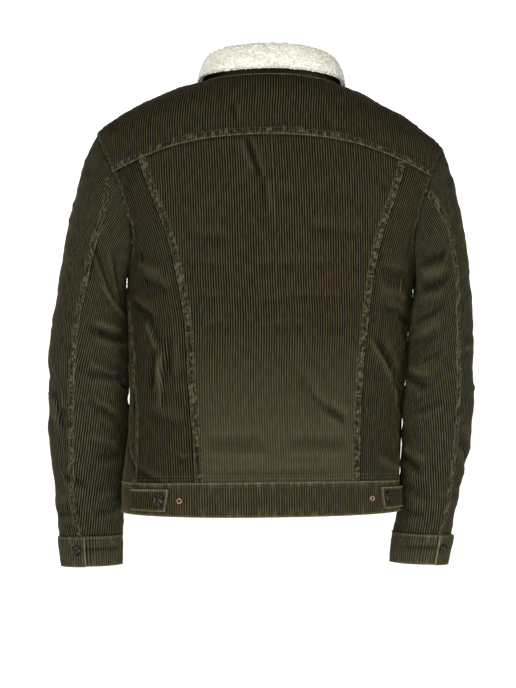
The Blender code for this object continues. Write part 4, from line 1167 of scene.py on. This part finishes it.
def make_centre(stitches):
    """Centre back panel with the felled seams along its slanted sides."""
    low, high = centre_chains()
    columns = columns_between(low[0, 0] + 0.4, low[-1, 0] - 0.4, STEP)
    lows, highs = across_chains(columns, low, high)
    level = rows_between(lows + GAP, highs - GAP, 6.0, DRAWN_ROWS, DRAWN_ROWS)
    s = columns[None, :] + 0 * level
    draw = np.clip((10.0 - (level - BAND_TOP)) / 10.0, 0, 1) * noise(s / 3.4, level / 9.0, 4.0)
    under = np.clip((highs[None, :] - level) / 6.0, 0.0, 1.0)
    points, normals = body_point(s, level, rib_lift(s, level) + 0.45 * draw - 0.6 * (1 - under))
    wear_and_highlight, dark = bump_of(BODY_FOLDS, s, level, 1.0, 1.0, 0.045)
    # Painted light: the back is made paler from 330 mm down, fully from 490 mm down.
    painted_light_low_back = 0.13 * np.clip((-330.0 - level) / 160.0, 0, 1)
    cloth = Cloth("centre_back_shell", CORD)
    # Under the yoke's lower edge the centre panel gets a painted shadow.
    cloth.grid(points, normals, s, level,
               tones_of(s, wear_and_highlight + painted_light_low_back, dark + 0.55 * (1 - under)), turned_in=WALL)
    levels = np.linspace(BAND_TOP + 0.5, -94.0, 300)
    for sign in SIDES.values():
        run = np.stack([sign * (panel_seam(levels) - 0.4), levels], axis=-1)
        felled_seam(cloth, stitches, run, sign, body_point, 11.5, 1.5, 2.0 * sign, wear_and_highlight=0.42)
    for rise in (4.3, 9.0):
        run = np.stack([np.linspace(-113.0, 113.0, 200), np.full(200, BAND_TOP + rise)], axis=-1)
        stitch_line(stitches, run, body_point, 0.25)
    return cloth.finish("corduroy", "back_centre_panel")


def make_side(side, stitches):
    """Side back panel, its ribs parallel to the slanted seam, and the felled side seam."""
    sign = SIDES[side]
    low, high = side_chains(side)
    first = max(low[0, 0], high[0, 0])
    last = min(low[-1, 0], high[-1, 0])
    columns = columns_between(first + 0.4, last - 0.4, STEP)
    lows, highs = across_chains(columns, low, high)
    level = rows_between(lows + GAP, highs - GAP, 6.0, DRAWN_ROWS, DRAWN_ROWS)
    w = columns[None, :] + 0 * level
    s = sign * side_back(w, level)
    under = np.clip((yoke_level(s) - level) / 6.0, 0.0, 1.0)
    seam = np.clip((np.abs(s) - panel_seam(level)) / 4.0, 0.0, 1.0)
    points, normals = body_point(s, level, rib_lift(w, level) - 0.6 * (1 - under)
                                 - 0.7 * (1 - seam))
    wear_and_highlight, dark = bump_of(BODY_FOLDS, s, level, 1.0, 1.0, 0.045)
    cloth = Cloth(f"side_back_shell_{side}", CORD)
    # Painted shadow under the yoke's edge and beside the slanted seam, and on the left panel painted
    # shade towards the sleeve.
    dark = dark + 0.55 * (1 - under) + 0.75 * (1 - seam)
    dark = dark + (0.35 if side == "left" else 0.0) * np.clip((np.abs(s) - 150.0) / 60.0, 0, 1)
    cloth.grid(points, normals, w, level, tones_of(w, wear_and_highlight, dark), turned_in=WALL)
    levels = np.linspace(BAND_TOP + 0.5, -252.0, 200)
    run = np.stack([sign * (side_distance(sign, levels) + 3.0), levels], axis=-1)
    felled_seam(cloth, stitches, run, sign, body_point, 10.0, 1.3, 5.0 + sign, wear_and_highlight=0.30)
    for rise in (4.3, 9.0):
        spots = np.linspace(120.0, 205.0, 80) * sign
        stitch_line(stitches, np.stack([spots, np.full(80, BAND_TOP + rise)], axis=-1),
                    body_point, 0.25)
    return cloth.finish("corduroy", f"back_side_{side}")


def make_front(side, stitches):
    """Plain front panel in three stretches, with the shoulder seam."""
    sign = SIDES[side]
    cloth = Cloth(f"front_shell_{side}", CORD)
    for first, last, low, high in front_chains(side):
        columns = columns_between(first, last - 0.3, STEP)
        lows, highs = across_chains(columns, low, high)
        keep = highs - lows > 1.0
        columns, lows, highs = columns[keep], lows[keep], highs[keep]
        level = rows_between(lows + GAP, highs - GAP, 8.5)
        a = columns[None, :] + 0 * level
        s = sign * (half_girth(sign, level) - a)
        points, normals = body_point(s, level, rib_lift(a, level))
        wear_and_highlight, dark = bump_of(BODY_FOLDS, s, level, 1.0, 1.0, 0.045)
        cloth.grid(points, normals, a, level, tones_of(a, wear_and_highlight, dark))
    shoulder = shoulder_chain(side) * [sign, 1.0]
    felled_seam(cloth, stitches, shoulder[1:-1], sign, body_point, 8.0, 1.2, 9.0 + sign, wear_and_highlight=0.3)
    return cloth.finish("corduroy", f"front_{side}")


def armhole_seam(side, stitches):
    """Raised seam of the body round the armhole, with one row of stitches."""
    sign = SIDES[side]
    cloth = Cloth(f"armhole_seam_{side}", CORD)
    run = armhole_line(side, np.linspace(0.0, 360.0, 361))
    felled_seam(cloth, stitches, run, -sign, body_point, 7.5, 1.2, 13.0 + sign,
                rows=(0.74,), wear_and_highlight=0.16)
    return cloth.finish("corduroy")


def band_lift(distance):
    """How far out the waistband lies: its left end laps over its right end."""
    from_front = half_girth(-1, BAND_TOP) + distance
    return (BAND_WALL + LAY) * np.clip((75.0 - from_front) / 40.0, 0.0, 1.0)


def band_point(distance, level, lift):
    """Surface of the waistband."""
    return body_point(distance, level, lift + band_lift(distance))


def make_waistband(stitches):
    """Waistband: closed strip with stitched, puckered edges."""
    right, left = half_girth(1, BAND_TOP), half_girth(-1, BAND_TOP)
    columns = columns_between(-left - 18.0, right + 18.0, STEP)
    apart = np.array([0.0, 1.1, 2.2, 3.4, 5.0, 9.0, 16.0, 24.0, 33.0, 40.0, 42.0, 43.8, 46.0,
                      47.6, 48.6])
    level = (HEM + apart)[:, None]
    s = columns[None, :] + 0 * level
    rise = apart[:, None]
    top = 48.6 - rise
    ends = np.exp(-((rise - 3.2) / 1.1) ** 2)
    rows = np.exp(-((top - 2.4) / 0.9) ** 2) + np.exp(-((top - 6.6) / 0.9) ** 2)
    low_pucker = noise(s / 3.6, rise / 12.0, 61.0) * np.exp(-(rise / 9.0) ** 2)
    top_pucker = noise(s / 3.4, top / 12.0, 62.0) * np.exp(-(top / 9.0) ** 2)
    swell = 0.7 * noise(s / 24.0, rise / 30.0, 63.0)
    roll = 1.0 * np.exp(-(rise / 2.2) ** 2) + 0.9 * np.exp(-(top / 2.4) ** 2)
    lift = (0.9 + 0.7 * low_pucker + 0.7 * top_pucker + swell - 0.6 * ends - 0.6 * rows
            + 0.2 * roll + rib_lift(s, level, 0.9))
    points, normals = band_point(s, level, lift)
    back = points - normals * (BAND_WALL + 0.4 + lift - 0.9)[..., None]
    # Puckers along both edges and the rolled edges are paler, painted highlight with worn pile; the
    # stitch grooves get painted shade.
    wear_and_highlight = (0.04 + 0.35 * np.clip(low_pucker, 0, 1) + 0.35 * np.clip(top_pucker, 0, 1)
            + 0.45 * roll)
    cloth = Cloth("waistband_shell", CORD)
    tones = tones_of(s, wear_and_highlight, 0.35 * ends + 0.35 * rows)
    cloth.grid(points, normals, s, level, tones, closed=back)
    for rise in (3.2, 42.0, 46.2):
        run = np.stack([np.arange(-left - 15.0, right + 15.0, 4.0)] * 2, axis=-1)
        run[:, 1] = HEM + rise
        stitch_line(stitches, run, band_point, 0.75)
    return cloth.finish("corduroy", "waistband")


def make_tab(side, stitches):
    """Side tab of the waistband with raised edges and a slanted end."""
    sign = SIDES[side]
    anchor = float(side_distance(sign, BUTTON_LEVEL))
    u = np.concatenate([[0.0, 0.6, 1.4, 2.4], np.arange(4, 68) * STEP,
                        [60.6, 61.6, 62.4, TAB_LENGTH]]) / TAB_LENGTH
    v = np.array([0.0, 0.7, 1.5, 2.6, 4.0, 6.5, 10.0, 14.0, 18.0, 22.0, 26.0, 28.5, 30.2,
                  31.4, 32.3, 33.0]) / 33.0

    def place(u, v, lift):
        length = TAB_LENGTH - 5.5 * (1.0 - v)
        s = sign * (anchor - length * u)
        return body_point(s, -585.0 + 33.0 * v, lift)

    uu, vv = np.meshgrid(u, v)
    edge = np.minimum(np.minimum(vv, 1 - vv) * 33.0, (1 - uu) * 60.0)
    raised = np.exp(-((edge - 1.2) / 1.5) ** 2)
    groove = np.exp(-((edge - 4.0) / 1.0) ** 2)
    pucker = noise(uu * 18.0, vv * 9.0, 71.0 + sign)
    across = uu * TAB_LENGTH
    lift = (LAY + BAND_WALL + 1.2 + 0.9 * raised - 0.6 * groove + 0.3 * pucker
            + rib_lift(across, vv * 33.0, 0.8))
    points, normals = place(uu, vv, lift)
    back = points - normals * (lift - LAY - 0.9)[..., None]
    cloth = Cloth(f"tab_shell_{side}", CORD)
    # Raised edges are paler, painted highlight with worn pile; the groove inside them gets painted
    # shade.
    tones = tones_of(across, 0.75 * raised * (0.7 + 0.3 * pucker), 0.4 * groove)
    cloth.grid(points, normals, across, vv * 33.0, tones, closed=back)
    lengths = np.linspace(0.02, 0.93, 60)
    for run_u, run_v in ((lengths, 0.125 + 0 * lengths), (lengths, 0.875 + 0 * lengths),
                         (0.93 + 0 * lengths, np.linspace(0.125, 0.875, 60))):
        spot, normal = place(run_u, run_v, np.full(60, LAY + BAND_WALL + 1.1))
        stitches.row(spot, normal)
    return cloth.finish("corduroy", f"tab_{side}")


def make_placket(stitches):
    """Button band on the lap of the fronts."""
    levels = np.linspace(BAND_TOP + 1.0, NECK - 2.0, 130)[:, None]
    a = np.concatenate([[-18.0, -17.4, -16.4], np.arange(-17, 18) * STEP, [16.4, 17.4, 18.0]])
    a = a[None, :] + 0 * levels
    levels = levels + 0 * a
    s = half_girth(1, levels) - a
    edge = 18.0 - np.abs(a)
    raised = np.exp(-((edge - 1.2) / 1.5) ** 2)
    pucker = noise(levels / 3.5, a / 6.0, 81.0)
    lift = (LAY + BAND_WALL + 0.9 + 0.8 * raised + 0.3 * pucker * np.exp(-(edge / 5.0) ** 2)
            + rib_lift(a, levels, 0.8))
    points, normals = body_point(s, levels, lift)
    back = points - normals * (lift - LAY - 0.8)[..., None]
    cloth = Cloth("placket_shell", CORD)
    # Raised edges are paler, painted highlight with worn pile.
    tones = tones_of(a, 0.5 * raised * (0.6 + 0.4 * pucker), 0.0)
    cloth.grid(points, normals, a, levels, tones, closed=back)
    for apart in (-14.5, 14.5):
        z = np.linspace(BAND_TOP + 3.0, NECK - 5.0, 260)
        run = np.stack([half_girth(1, z) - apart, z], axis=-1)
        stitch_line(stitches, run, body_point, LAY + BAND_WALL + 1.0)
    return cloth.finish("corduroy", "front_placket")


WAYS = np.linspace(0.0, 1.0, 201)


class SleevePiece:
    """Upper or under sleeve: its ribs run along its middle line."""

    def __init__(self, side, name):
        self.side, self.name = side, name
        seam = smooth(SLEEVES[side], 8, WAYS)
        front = np.full(len(WAYS), FRONT_SEAM)
        low, high = (front - 360.0, seam) if name == "upper" else (seam, front)
        middle = 0.0 if name == "upper" else 180.0
        self.turns = np.arange(-80.0, 280.1, 1.0)
        ring = sleeve_at(side, self.turns[None, :], WAYS[:, None])
        arc = np.cumsum(np.linalg.norm(np.diff(ring, axis=1), axis=2), axis=1)
        arc = np.concatenate([np.zeros((len(WAYS), 1)), arc], axis=1)

        def arc_at(turn):
            return np.array([np.interp(t, self.turns, row) for t, row in zip(turn, arc)])

        self.arc = arc - arc_at(np.full(len(WAYS), middle))[:, None]
        start = arc_at(np.full(len(WAYS), middle))
        self.low, self.high = arc_at(low) - start, arc_at(high) - start

    def clock(self, across, way):
        """Clock angle at a rib coordinate and way, for columns of points."""
        turns = np.empty(np.broadcast(across, way).shape)
        for k, at in enumerate(across[0]):
            line = np.array([np.interp(at, row, self.turns) for row in self.arc])
            turns[:, k] = np.interp(way[:, k], WAYS, line)
        return turns

    def columns(self, step):
        """Columns with the ways where each begins and ends."""
        columns = columns_between(self.low.min() + 0.5, self.high.max() - 0.5, step)
        starts, ends = [], []
        for at in columns:
            margin = self.high - at if at > 0 else at - self.low
            inside = np.flatnonzero(margin >= 0.0)
            i, j = inside[0], inside[-1]
            start = WAYS[i]
            if i > 0:
                start = np.interp(0.0, margin[i - 1:i + 1], WAYS[i - 1:i + 1])
            end = WAYS[j]
            if j < len(WAYS) - 1:
                end = np.interp(0.0, -margin[j:j + 2], WAYS[j:j + 2])
            starts.append(start)
            ends.append(end)
        return columns, np.array(starts), np.array(ends)


def make_sleeve_piece(side, name, stitches, lining):
    """Cloth of one sleeve piece, and its part of the lining."""
    piece = SleevePiece(side, name)
    cloth = Cloth(f"sleeve_{name}_shell_{side}", CORD_SLEEVE_PAINTED_SHEEN)
    for step, spacing, kind in ((STEP, 7.4, "cloth"), (7.0, 14.0, "lining")):
        columns, starts, ends = piece.columns(step)
        keep = ends - starts > 0.004
        columns, starts, ends = columns[keep], starts[keep], ends[keep]
        way = rows_between(starts * ARM + 0.3, ends * ARM - 0.3, spacing) / ARM
        across = columns[None, :] + 0 * way
        clock = piece.clock(across, way)
        if kind == "lining":
            points, normals = sleeve_point(side, clock, way, -5.4)
            lining.grid(points, -normals, across, way * ARM, tones_of(across, 0.0, 0.0))
            continue
        points, normals = sleeve_point(side, clock, way, rib_lift(across, way * ARM))
        turn = np.mod(clock + 80.0, 360.0) - 80.0
        wear_and_highlight, dark = bump_of(SLEEVE_FOLDS[side], turn, way, 1.0, ARM, 0.045)
        cloth.grid(points, normals, across, way * ARM, tones_of(across, wear_and_highlight, dark),
                   turned_in=WALL - 0.6)
    if name == "upper":
        seam_of_sleeve(cloth, side, stitches)
    return cloth.finish("corduroy", f"sleeve_{name}_{side}")


def seam_of_sleeve(cloth, side, stitches):
    """Felled seam down the back of a sleeve."""
    table = SLEEVES[side]
    radius = 62.0
    unit = math.pi * radius / 180.0

    def point(u, v, lift):
        return sleeve_point(side, u / unit, np.clip(v / ARM, 0.0, 1.0), lift)

    ways = np.linspace(0.012, 0.997, 300)
    run = np.stack([smooth(table, 8, ways) * unit, ways * ARM], axis=-1)
    felled_seam(cloth, stitches, run, 1, point, 10.0, 1.6,
                23.0 if side == "left" else 27.0, wear_and_highlight=0.40)


def make_cuff(side, stitches):
    """Cuff: closed strip with its lapped end, stitched edges and a crease."""
    end = CUFF_END[side]
    per_degree = 0.76
    columns = columns_between((end - 32.0) * per_degree, (end + 360.0) * per_degree, STEP)
    clock = columns[None, :] / per_degree
    down = np.array([-1.4, 0.6, 3.6, 5.6, 7.4, 9.2, 12.5, 15.5, 17.5, 20.0, 25.0, 32.0, 37.0,
                     38.6, 40.2, 41.4, 42.0])[:, None]
    clock, down = np.broadcast_arrays(clock, down)
    lap = (BAND_WALL + LAY) * np.clip((clock - (end + 270.0)) / 40.0, 0.0, 1.0)
    across = clock * per_degree
    edge = 42.0 - down
    rows = np.exp(-((down - 3.6) / 0.9) ** 2) + np.exp(-((down - 7.4) / 0.9) ** 2)
    foot = np.exp(-((edge - 3.6) / 1.0) ** 2)
    fringe = np.exp(-(edge / 2.0) ** 2) + np.exp(-((down - 1.2) / 1.4) ** 2)
    pucker = noise(across / 3.4, down / 9.0, 91.0) * (np.exp(-(edge / 8.0) ** 2)
                                                      + np.exp(-(down / 9.0) ** 2))
    crease = np.exp(-((down - 17.5) / 2.4) ** 2) * np.exp(
        -(np.clip(np.abs(np.mod(clock, 360.0) - (end + 32.0)) - 24.0, 0, 90) / 9.0) ** 2)
    tip = np.exp(-((clock - (end + 360.0)) / 1.8) ** 2) + np.exp(-((clock - end + 32.0) / 1.8) ** 2)
    swell = 0.7 * noise(across / 22.0, down / 18.0, 93.0)
    lift = (lap + 0.9 + 0.6 * pucker - 0.6 * rows - 0.5 * foot - 1.6 * crease + 0.5 * tip + swell
            + rib_lift(across, down, 0.9))
    points, normals = cuff_point(side, clock, down, lift)
    back = points - normals * (lift - lap + BAND_WALL - 0.4)[..., None]
    # Puckers, edges and the lapped end are paler, painted highlight with worn pile; stitch grooves,
    # the foot and the crease get painted shade.
    wear_and_highlight = 0.06 + 0.35 * np.clip(pucker, 0, 1) + 0.35 * fringe + 0.7 * tip
    cloth = Cloth(f"cuff_shell_{side}", CORD_SLEEVE_PAINTED_SHEEN)
    tones = tones_of(across, wear_and_highlight, 0.35 * rows + 0.3 * foot + 0.7 * crease)
    cloth.grid(points, normals, across, down, tones, closed=back)
    for at in (3.6, 7.4, 38.4):
        turn = np.linspace(end - 20.0, end + 356.0, 400)
        rise = (BAND_WALL + LAY) * np.clip((turn - (end + 270.0)) / 40.0, 0.0, 1.0)
        stitches.row(*cuff_point(side, turn, np.full(400, at), rise + 0.7))
    return cloth.finish("corduroy", f"cuff_{side}")


def make_collar():
    """Corduroy under-collar and sherpa upper collar with its curls."""
    inner = UNDER_COLLAR_WALL + GAP
    angle = np.linspace(-174.0, 174.0, 300)[:, None]
    way = np.linspace(0.0, 1.0, 18)[None, :]
    angle, way = np.broadcast_arrays(angle, way)
    across = angle * 1.55
    face = collar_point(angle, way, 0.0 * angle)
    back = collar_point(angle, way, 0 * angle + UNDER_COLLAR_WALL)
    normal = face - back
    normal /= np.linalg.norm(normal, axis=-1, keepdims=True)
    cloth = Cloth("under_collar_shell", CORD)
    # The under-collar is darkened all over: painted shade under the sherpa collar.
    cloth.grid(face, normal, across, way * 80.0, tones_of(across, 0.05, 0.25), closed=back)
    under = cloth.finish("corduroy", "collar_under")

    angle = np.linspace(-174.0, 174.0, 220)[:, None]
    way = np.linspace(0.0, 1.0, 32)[None, :]
    angle, way = np.broadcast_arrays(angle, way)
    lumps = 1.0 * noise(angle / 2.6, way * 16.0, 101.0) + 0.6 * noise(angle / 1.2, way * 33.0, 102.0)
    ends = np.clip(np.minimum(way, 1 - way) / 0.05, 0.0, 1.0) ** 0.5
    ends = ends * np.clip((174.0 - np.abs(angle)) / 2.5, 0.0, 1.0) ** 0.5
    face = collar_point(angle, way, inner + 0.6 + (4.6 + lumps) * ends)
    back = collar_point(angle, way, 0 * angle + inner)
    normal = face - back
    normal /= np.linalg.norm(normal, axis=-1, keepdims=True)
    pile = Cloth("sherpa_collar_shell", SHERPA)
    pile.grid(face, normal, angle, way, tones_of(0 * angle), closed=back)
    upper = pile.finish("sherpa", "collar_upper")
    return under, upper, make_curls(inner)


def make_curls(inner):
    """Curls of the collar's pile: short bent tubes, joined in one mesh."""
    draws = np.random.default_rng(19)
    rows = []
    for way in np.arange(0.015, 1.0, 0.0375):
        for angle in np.arange(-173.0, 173.1, 2.45):
            rows.append((angle, way))
    spots = np.array(rows)
    spots += draws.uniform(-1, 1, spots.shape) * [1.0, 0.018]
    angle = np.clip(spots[:, 0], -173.6, 173.6)
    way = np.clip(spots[:, 1], 0.0, 1.0)
    base = collar_point(angle, way, inner + 3.6 + draws.uniform(-0.4, 1.0, len(angle)))
    root = collar_point(angle, way, inner + 0 * angle)
    normal = base - root
    normal /= np.linalg.norm(normal, axis=1, keepdims=True)
    side = collar_point(np.clip(angle + 0.5, -174, 174), way, inner + 3.6 + 0 * angle) - base
    side -= normal * (side * normal).sum(1, keepdims=True)
    side /= np.linalg.norm(side, axis=1, keepdims=True)
    other = np.cross(normal, side)
    start = draws.uniform(0, 2 * math.pi, len(angle))
    hand = draws.choice([-1.0, 1.0], len(angle))
    radius = draws.uniform(1.1, 1.9, len(angle))
    thick = draws.uniform(0.85, 1.25, len(angle))
    sections, around = 4, 5
    path = []
    for k in range(sections):
        turn = start + hand * k / (sections - 1) * 4.4
        rise = 1.1 * math.sin(math.pi * k / (sections - 1))
        path.append(base + (side * np.cos(turn)[:, None] + other * np.sin(turn)[:, None])
                    * radius[:, None] + normal * rise)
    path = np.stack(path, axis=1)
    step = np.gradient(path, axis=1)
    step /= np.linalg.norm(step, axis=2, keepdims=True)
    out = np.cross(step, normal[:, None, :])
    out /= np.maximum(np.linalg.norm(out, axis=2, keepdims=True), 1e-6)
    high = np.cross(out, step)
    taper = np.array([0.45, 1.05, 1.05, 0.45])[None, :, None, None] * thick[:, None, None, None]
    turn = np.arange(around) * 2 * math.pi / around
    tube = (path[:, :, None] + (out[:, :, None] * np.cos(turn)[:, None]
                                + high[:, :, None] * np.sin(turn)[:, None]) * taper)
    verts = tube.reshape(-1, 3)
    faces = []
    for k in range(sections - 1):
        for j in range(around):
            m = (j + 1) % around
            faces.append([k * around + j, k * around + m, (k + 1) * around + m,
                          (k + 1) * around + j])
    caps = [list(range(around))[::-1],
            [(sections - 1) * around + j for j in range(around)]]
    base = np.arange(len(angle))[:, None, None] * sections * around
    curls = Cloth("sherpa_curls", SHERPA)
    curls.add(verts, (base + np.array(faces)).reshape(-1, 4))
    curls.faces.append((base + np.array(caps)).reshape(-1, around))
    return curls.finish("sherpa")


def panel_lining(lining, low, high, back_of, first, last):
    """Sherpa lining behind one panel of the body."""
    columns = np.linspace(first, last, max(int((last - first) / 7.0), 3))
    lows, highs = across_chains(columns, low, high)
    level = rows_between(lows, highs, 6.5)
    across = columns[None, :] + 0 * level
    s = back_of(across, level)
    lumps = 1.3 * noise(s / 7.0, level / 7.0, 111.0)
    points, normals = body_point(s, level, lumps - LINING)
    lining.grid(points, -normals, s, level, tones_of(0 * s))


def make_lining():
    """Sherpa lining of the body."""
    lining = Cloth("sherpa_lining", SHERPA)
    for low, high in (yoke_chains(), centre_chains()):
        panel_lining(lining, low, high, lambda a, z: a, low[0, 0] + 1.0, low[-1, 0] - 1.0)
    for side, sign in SIDES.items():
        low, high = side_chains(side)
        first, last = max(low[0, 0], high[0, 0]), min(low[-1, 0], high[-1, 0])
        panel_lining(lining, low, high, lambda a, z, sign=sign: sign * side_back(a, z),
                     first + 0.5, last - 0.5)
        for first, last, low, high in front_chains(side):
            panel_lining(lining, low, high,
                         lambda a, z, sign=sign: sign * (half_girth(sign, z) - a), first,
                         last - 2.0)
    return lining.finish("sherpa")


def turned(name, material, slot, box, normal, profile, node_name, count=40):
    """Round piece turned about its normal, in the place of its CAD node."""
    middle = (np.array(box[0]) + np.array(box[1])) / 2 / MM
    aside = np.cross(normal, [0.0, 0.0, 1.0])
    aside /= np.linalg.norm(aside)
    upward = np.cross(aside, normal)
    turns = np.radians(np.arange(count + 1) * 360.0 / count)
    around = np.cos(turns)[:, None] * aside + np.sin(turns)[:, None] * upward
    profile = np.array(profile)
    middle = middle - normal * (profile[:, 1].max() + profile[:, 1].min()) / 2
    points = middle + normal * profile[:, 1][:, None, None] + around * profile[:, 0][:, None, None]
    rows = len(profile)
    index = np.arange(rows * count).reshape(rows, count)
    other = np.roll(index, -1, axis=1)
    faces = np.stack([index[:-1], other[:-1], other[1:], index[1:]], axis=-1).reshape(-1, 4)
    cloth = Cloth(name, material)
    cloth.add(points[:, :count].reshape(-1, 3), faces)
    return cloth.finish(slot, node_name)


def button_profile(radius):
    """Shank button: turned rim, sunk ring and a low dome in the middle."""
    return [(0.02, 0.0), (radius * 0.6, 0.0), (radius * 0.92, 0.5), (radius, 1.2),
            (radius, 2.0), (radius * 0.97, 2.7), (radius * 0.91, 3.15), (radius * 0.84, 3.2),
            (radius * 0.78, 2.9), (radius * 0.73, 2.45), (radius * 0.60, 2.25),
            (radius * 0.54, 2.35), (radius * 0.49, 2.7), (radius * 0.40, 2.9),
            (radius * 0.22, 3.05), (0.02, 3.1)]


RING_PROFILE = [(3.9, 0.0), (4.0, 0.5), (3.9, 1.1), (3.5, 1.6), (3.0, 1.75), (2.5, 1.55),
                (2.1, 1.1), (2.0, 0.4), (2.0, 0.0), (3.9, 0.0)]


def make_metal():
    """Buttons and ring studs, each where its CAD node is."""
    left = half_girth(-1, BAND_TOP)
    spots = {"band_button": body_point(np.array(-left), np.array(BUTTON_LEVEL))[1]}
    for n, level in enumerate((-20.0, -135.0, -250.0, -365.0, -480.0), 1):
        spots[f"front_button_{n}"] = body_point(half_girth(1, level), np.array(level))[1]
    for side, sign in SIDES.items():
        anchor = float(side_distance(sign, BUTTON_LEVEL))
        spots[f"tab_button_{side}"] = body_point(np.array(sign * (anchor - TAB_BUTTON)),
                                                 np.array(TAB_LEVEL))[1]
        turn = np.array(CUFF_END[side] - 13.0)
        spots[f"cuff_button_{side}"] = cuff_point(side, turn, np.array(18.0))[1]
        ring = body_point(np.array(sign * (anchor - TAB_RING)), np.array(TAB_LEVEL))[1]
        name = f"ring_stud_{side}"
        turned(f"{name}_fine", RING_METAL, "copper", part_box(name), ring, RING_PROFILE, name, 28)
    for name, normal in spots.items():
        radius = 7.5 if name.startswith("cuff") else 8.5
        turned(f"{name}_fine", BUTTON_METAL, "dark_metal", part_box(name), normal,
               button_profile(radius), name)


def add_light(name, place, target, size, power):
    """Soft square light that points at a target; places in metres."""
    lamp = bpy.data.lights.new(name, "AREA")
    lamp.energy, lamp.size = power, size
    thing = bpy.data.objects.new(name, lamp)
    bpy.context.scene.collection.objects.link(thing)
    thing.location = place
    away = Vector(target) - Vector(place)
    thing.rotation_euler = away.to_track_quat("-Z", "Y").to_euler()


def make_stage():
    """Pale floor, white room, soft lights and the camera."""
    scene = bpy.context.scene
    world = bpy.data.worlds.new("room")
    world.use_nodes = True
    world.node_tree.nodes["Background"].inputs["Color"].default_value = (1.0, 1.0, 1.0, 1.0)
    world.node_tree.nodes["Background"].inputs["Strength"].default_value = 0.22
    scene.world = world
    scene.view_settings.view_transform = "Standard"

    made, _, shader = make_material("white_paper")
    shader.inputs["Base Color"].default_value = (0.9, 0.9, 0.9, 1.0)
    shader.inputs["Roughness"].default_value = 0.8
    shader.inputs["Emission Color"].default_value = (1.0, 1.0, 1.0, 1.0)
    shader.inputs["Emission Strength"].default_value = 0.75
    paper = bpy.data.meshes.new("paper")
    profile = [(-14.0, FLOOR), (6.0, FLOOR), (7.6, -1.20), (8.6, -0.5), (9.0, 0.6), (9.0, 8.0)]
    corners = [(x, y, z) for y, z in profile for x in (-9.0, 9.0)]
    sides = [(2 * k, 2 * k + 1, 2 * k + 3, 2 * k + 2) for k in range(len(profile) - 1)]
    paper.from_pydata(corners, [], sides)
    paper.materials.append(made)
    for side in paper.polygons:
        side.use_smooth = True
    floor = bpy.data.objects.new("paper", paper)
    scene.collection.objects.link(floor)

    add_light("key", (-1.5, -2.6, 0.9), (0.0, 0.0, -0.35), 1.0, 60.0)
    add_light("fill", (2.3, -2.0, -0.2), (0.0, 0.0, -0.4), 1.1, 34.0)
    add_light("front", (-2.2, 2.6, 0.6), (0.0, 0.0, -0.3), 1.2, 42.0)
    add_light("low", (0.1, -3.2, -1.1), (0.0, 0.0, -0.5), 1.0, 20.0)

    lens = bpy.data.cameras.new("camera")
    lens.sensor_width, lens.lens = 36.0, 129.0
    camera = bpy.data.objects.new("camera", lens)
    scene.collection.objects.link(camera)
    camera.location = (-0.0114, -3.5, -0.3536)
    camera.rotation_euler = (math.radians(90.0), 0.0, 0.0)
    scene.camera = camera


make_stage()
stitches = Stitches("stitches")
sleeve_lining = Cloth("sleeve_lining", SLEEVE_LINING)
PIECES = {}
PIECES["yoke"] = make_yoke(stitches)
PIECES["centre"] = make_centre(stitches)
for name in SIDES:
    PIECES[f"side_{name}"] = make_side(name, stitches)
    PIECES[f"front_{name}"] = make_front(name, stitches)
    PIECES[f"armhole_{name}"] = armhole_seam(name, stitches)
    for half in ("upper", "under"):
        PIECES[f"{half}_{name}"] = make_sleeve_piece(name, half, stitches, sleeve_lining)
    PIECES[f"cuff_{name}"] = make_cuff(name, stitches)
    PIECES[f"tab_{name}"] = make_tab(name, stitches)
PIECES["band"] = make_waistband(stitches)
PIECES["placket"] = make_placket(stitches)
PIECES["under_collar"], PIECES["collar"], PIECES["curls"] = make_collar()
PIECES["lining"] = make_lining()
PIECES["sleeve_lining"] = sleeve_lining.finish("corduroy")
PIECES["stitches"] = stitches.cloth.finish("corduroy")
make_metal()
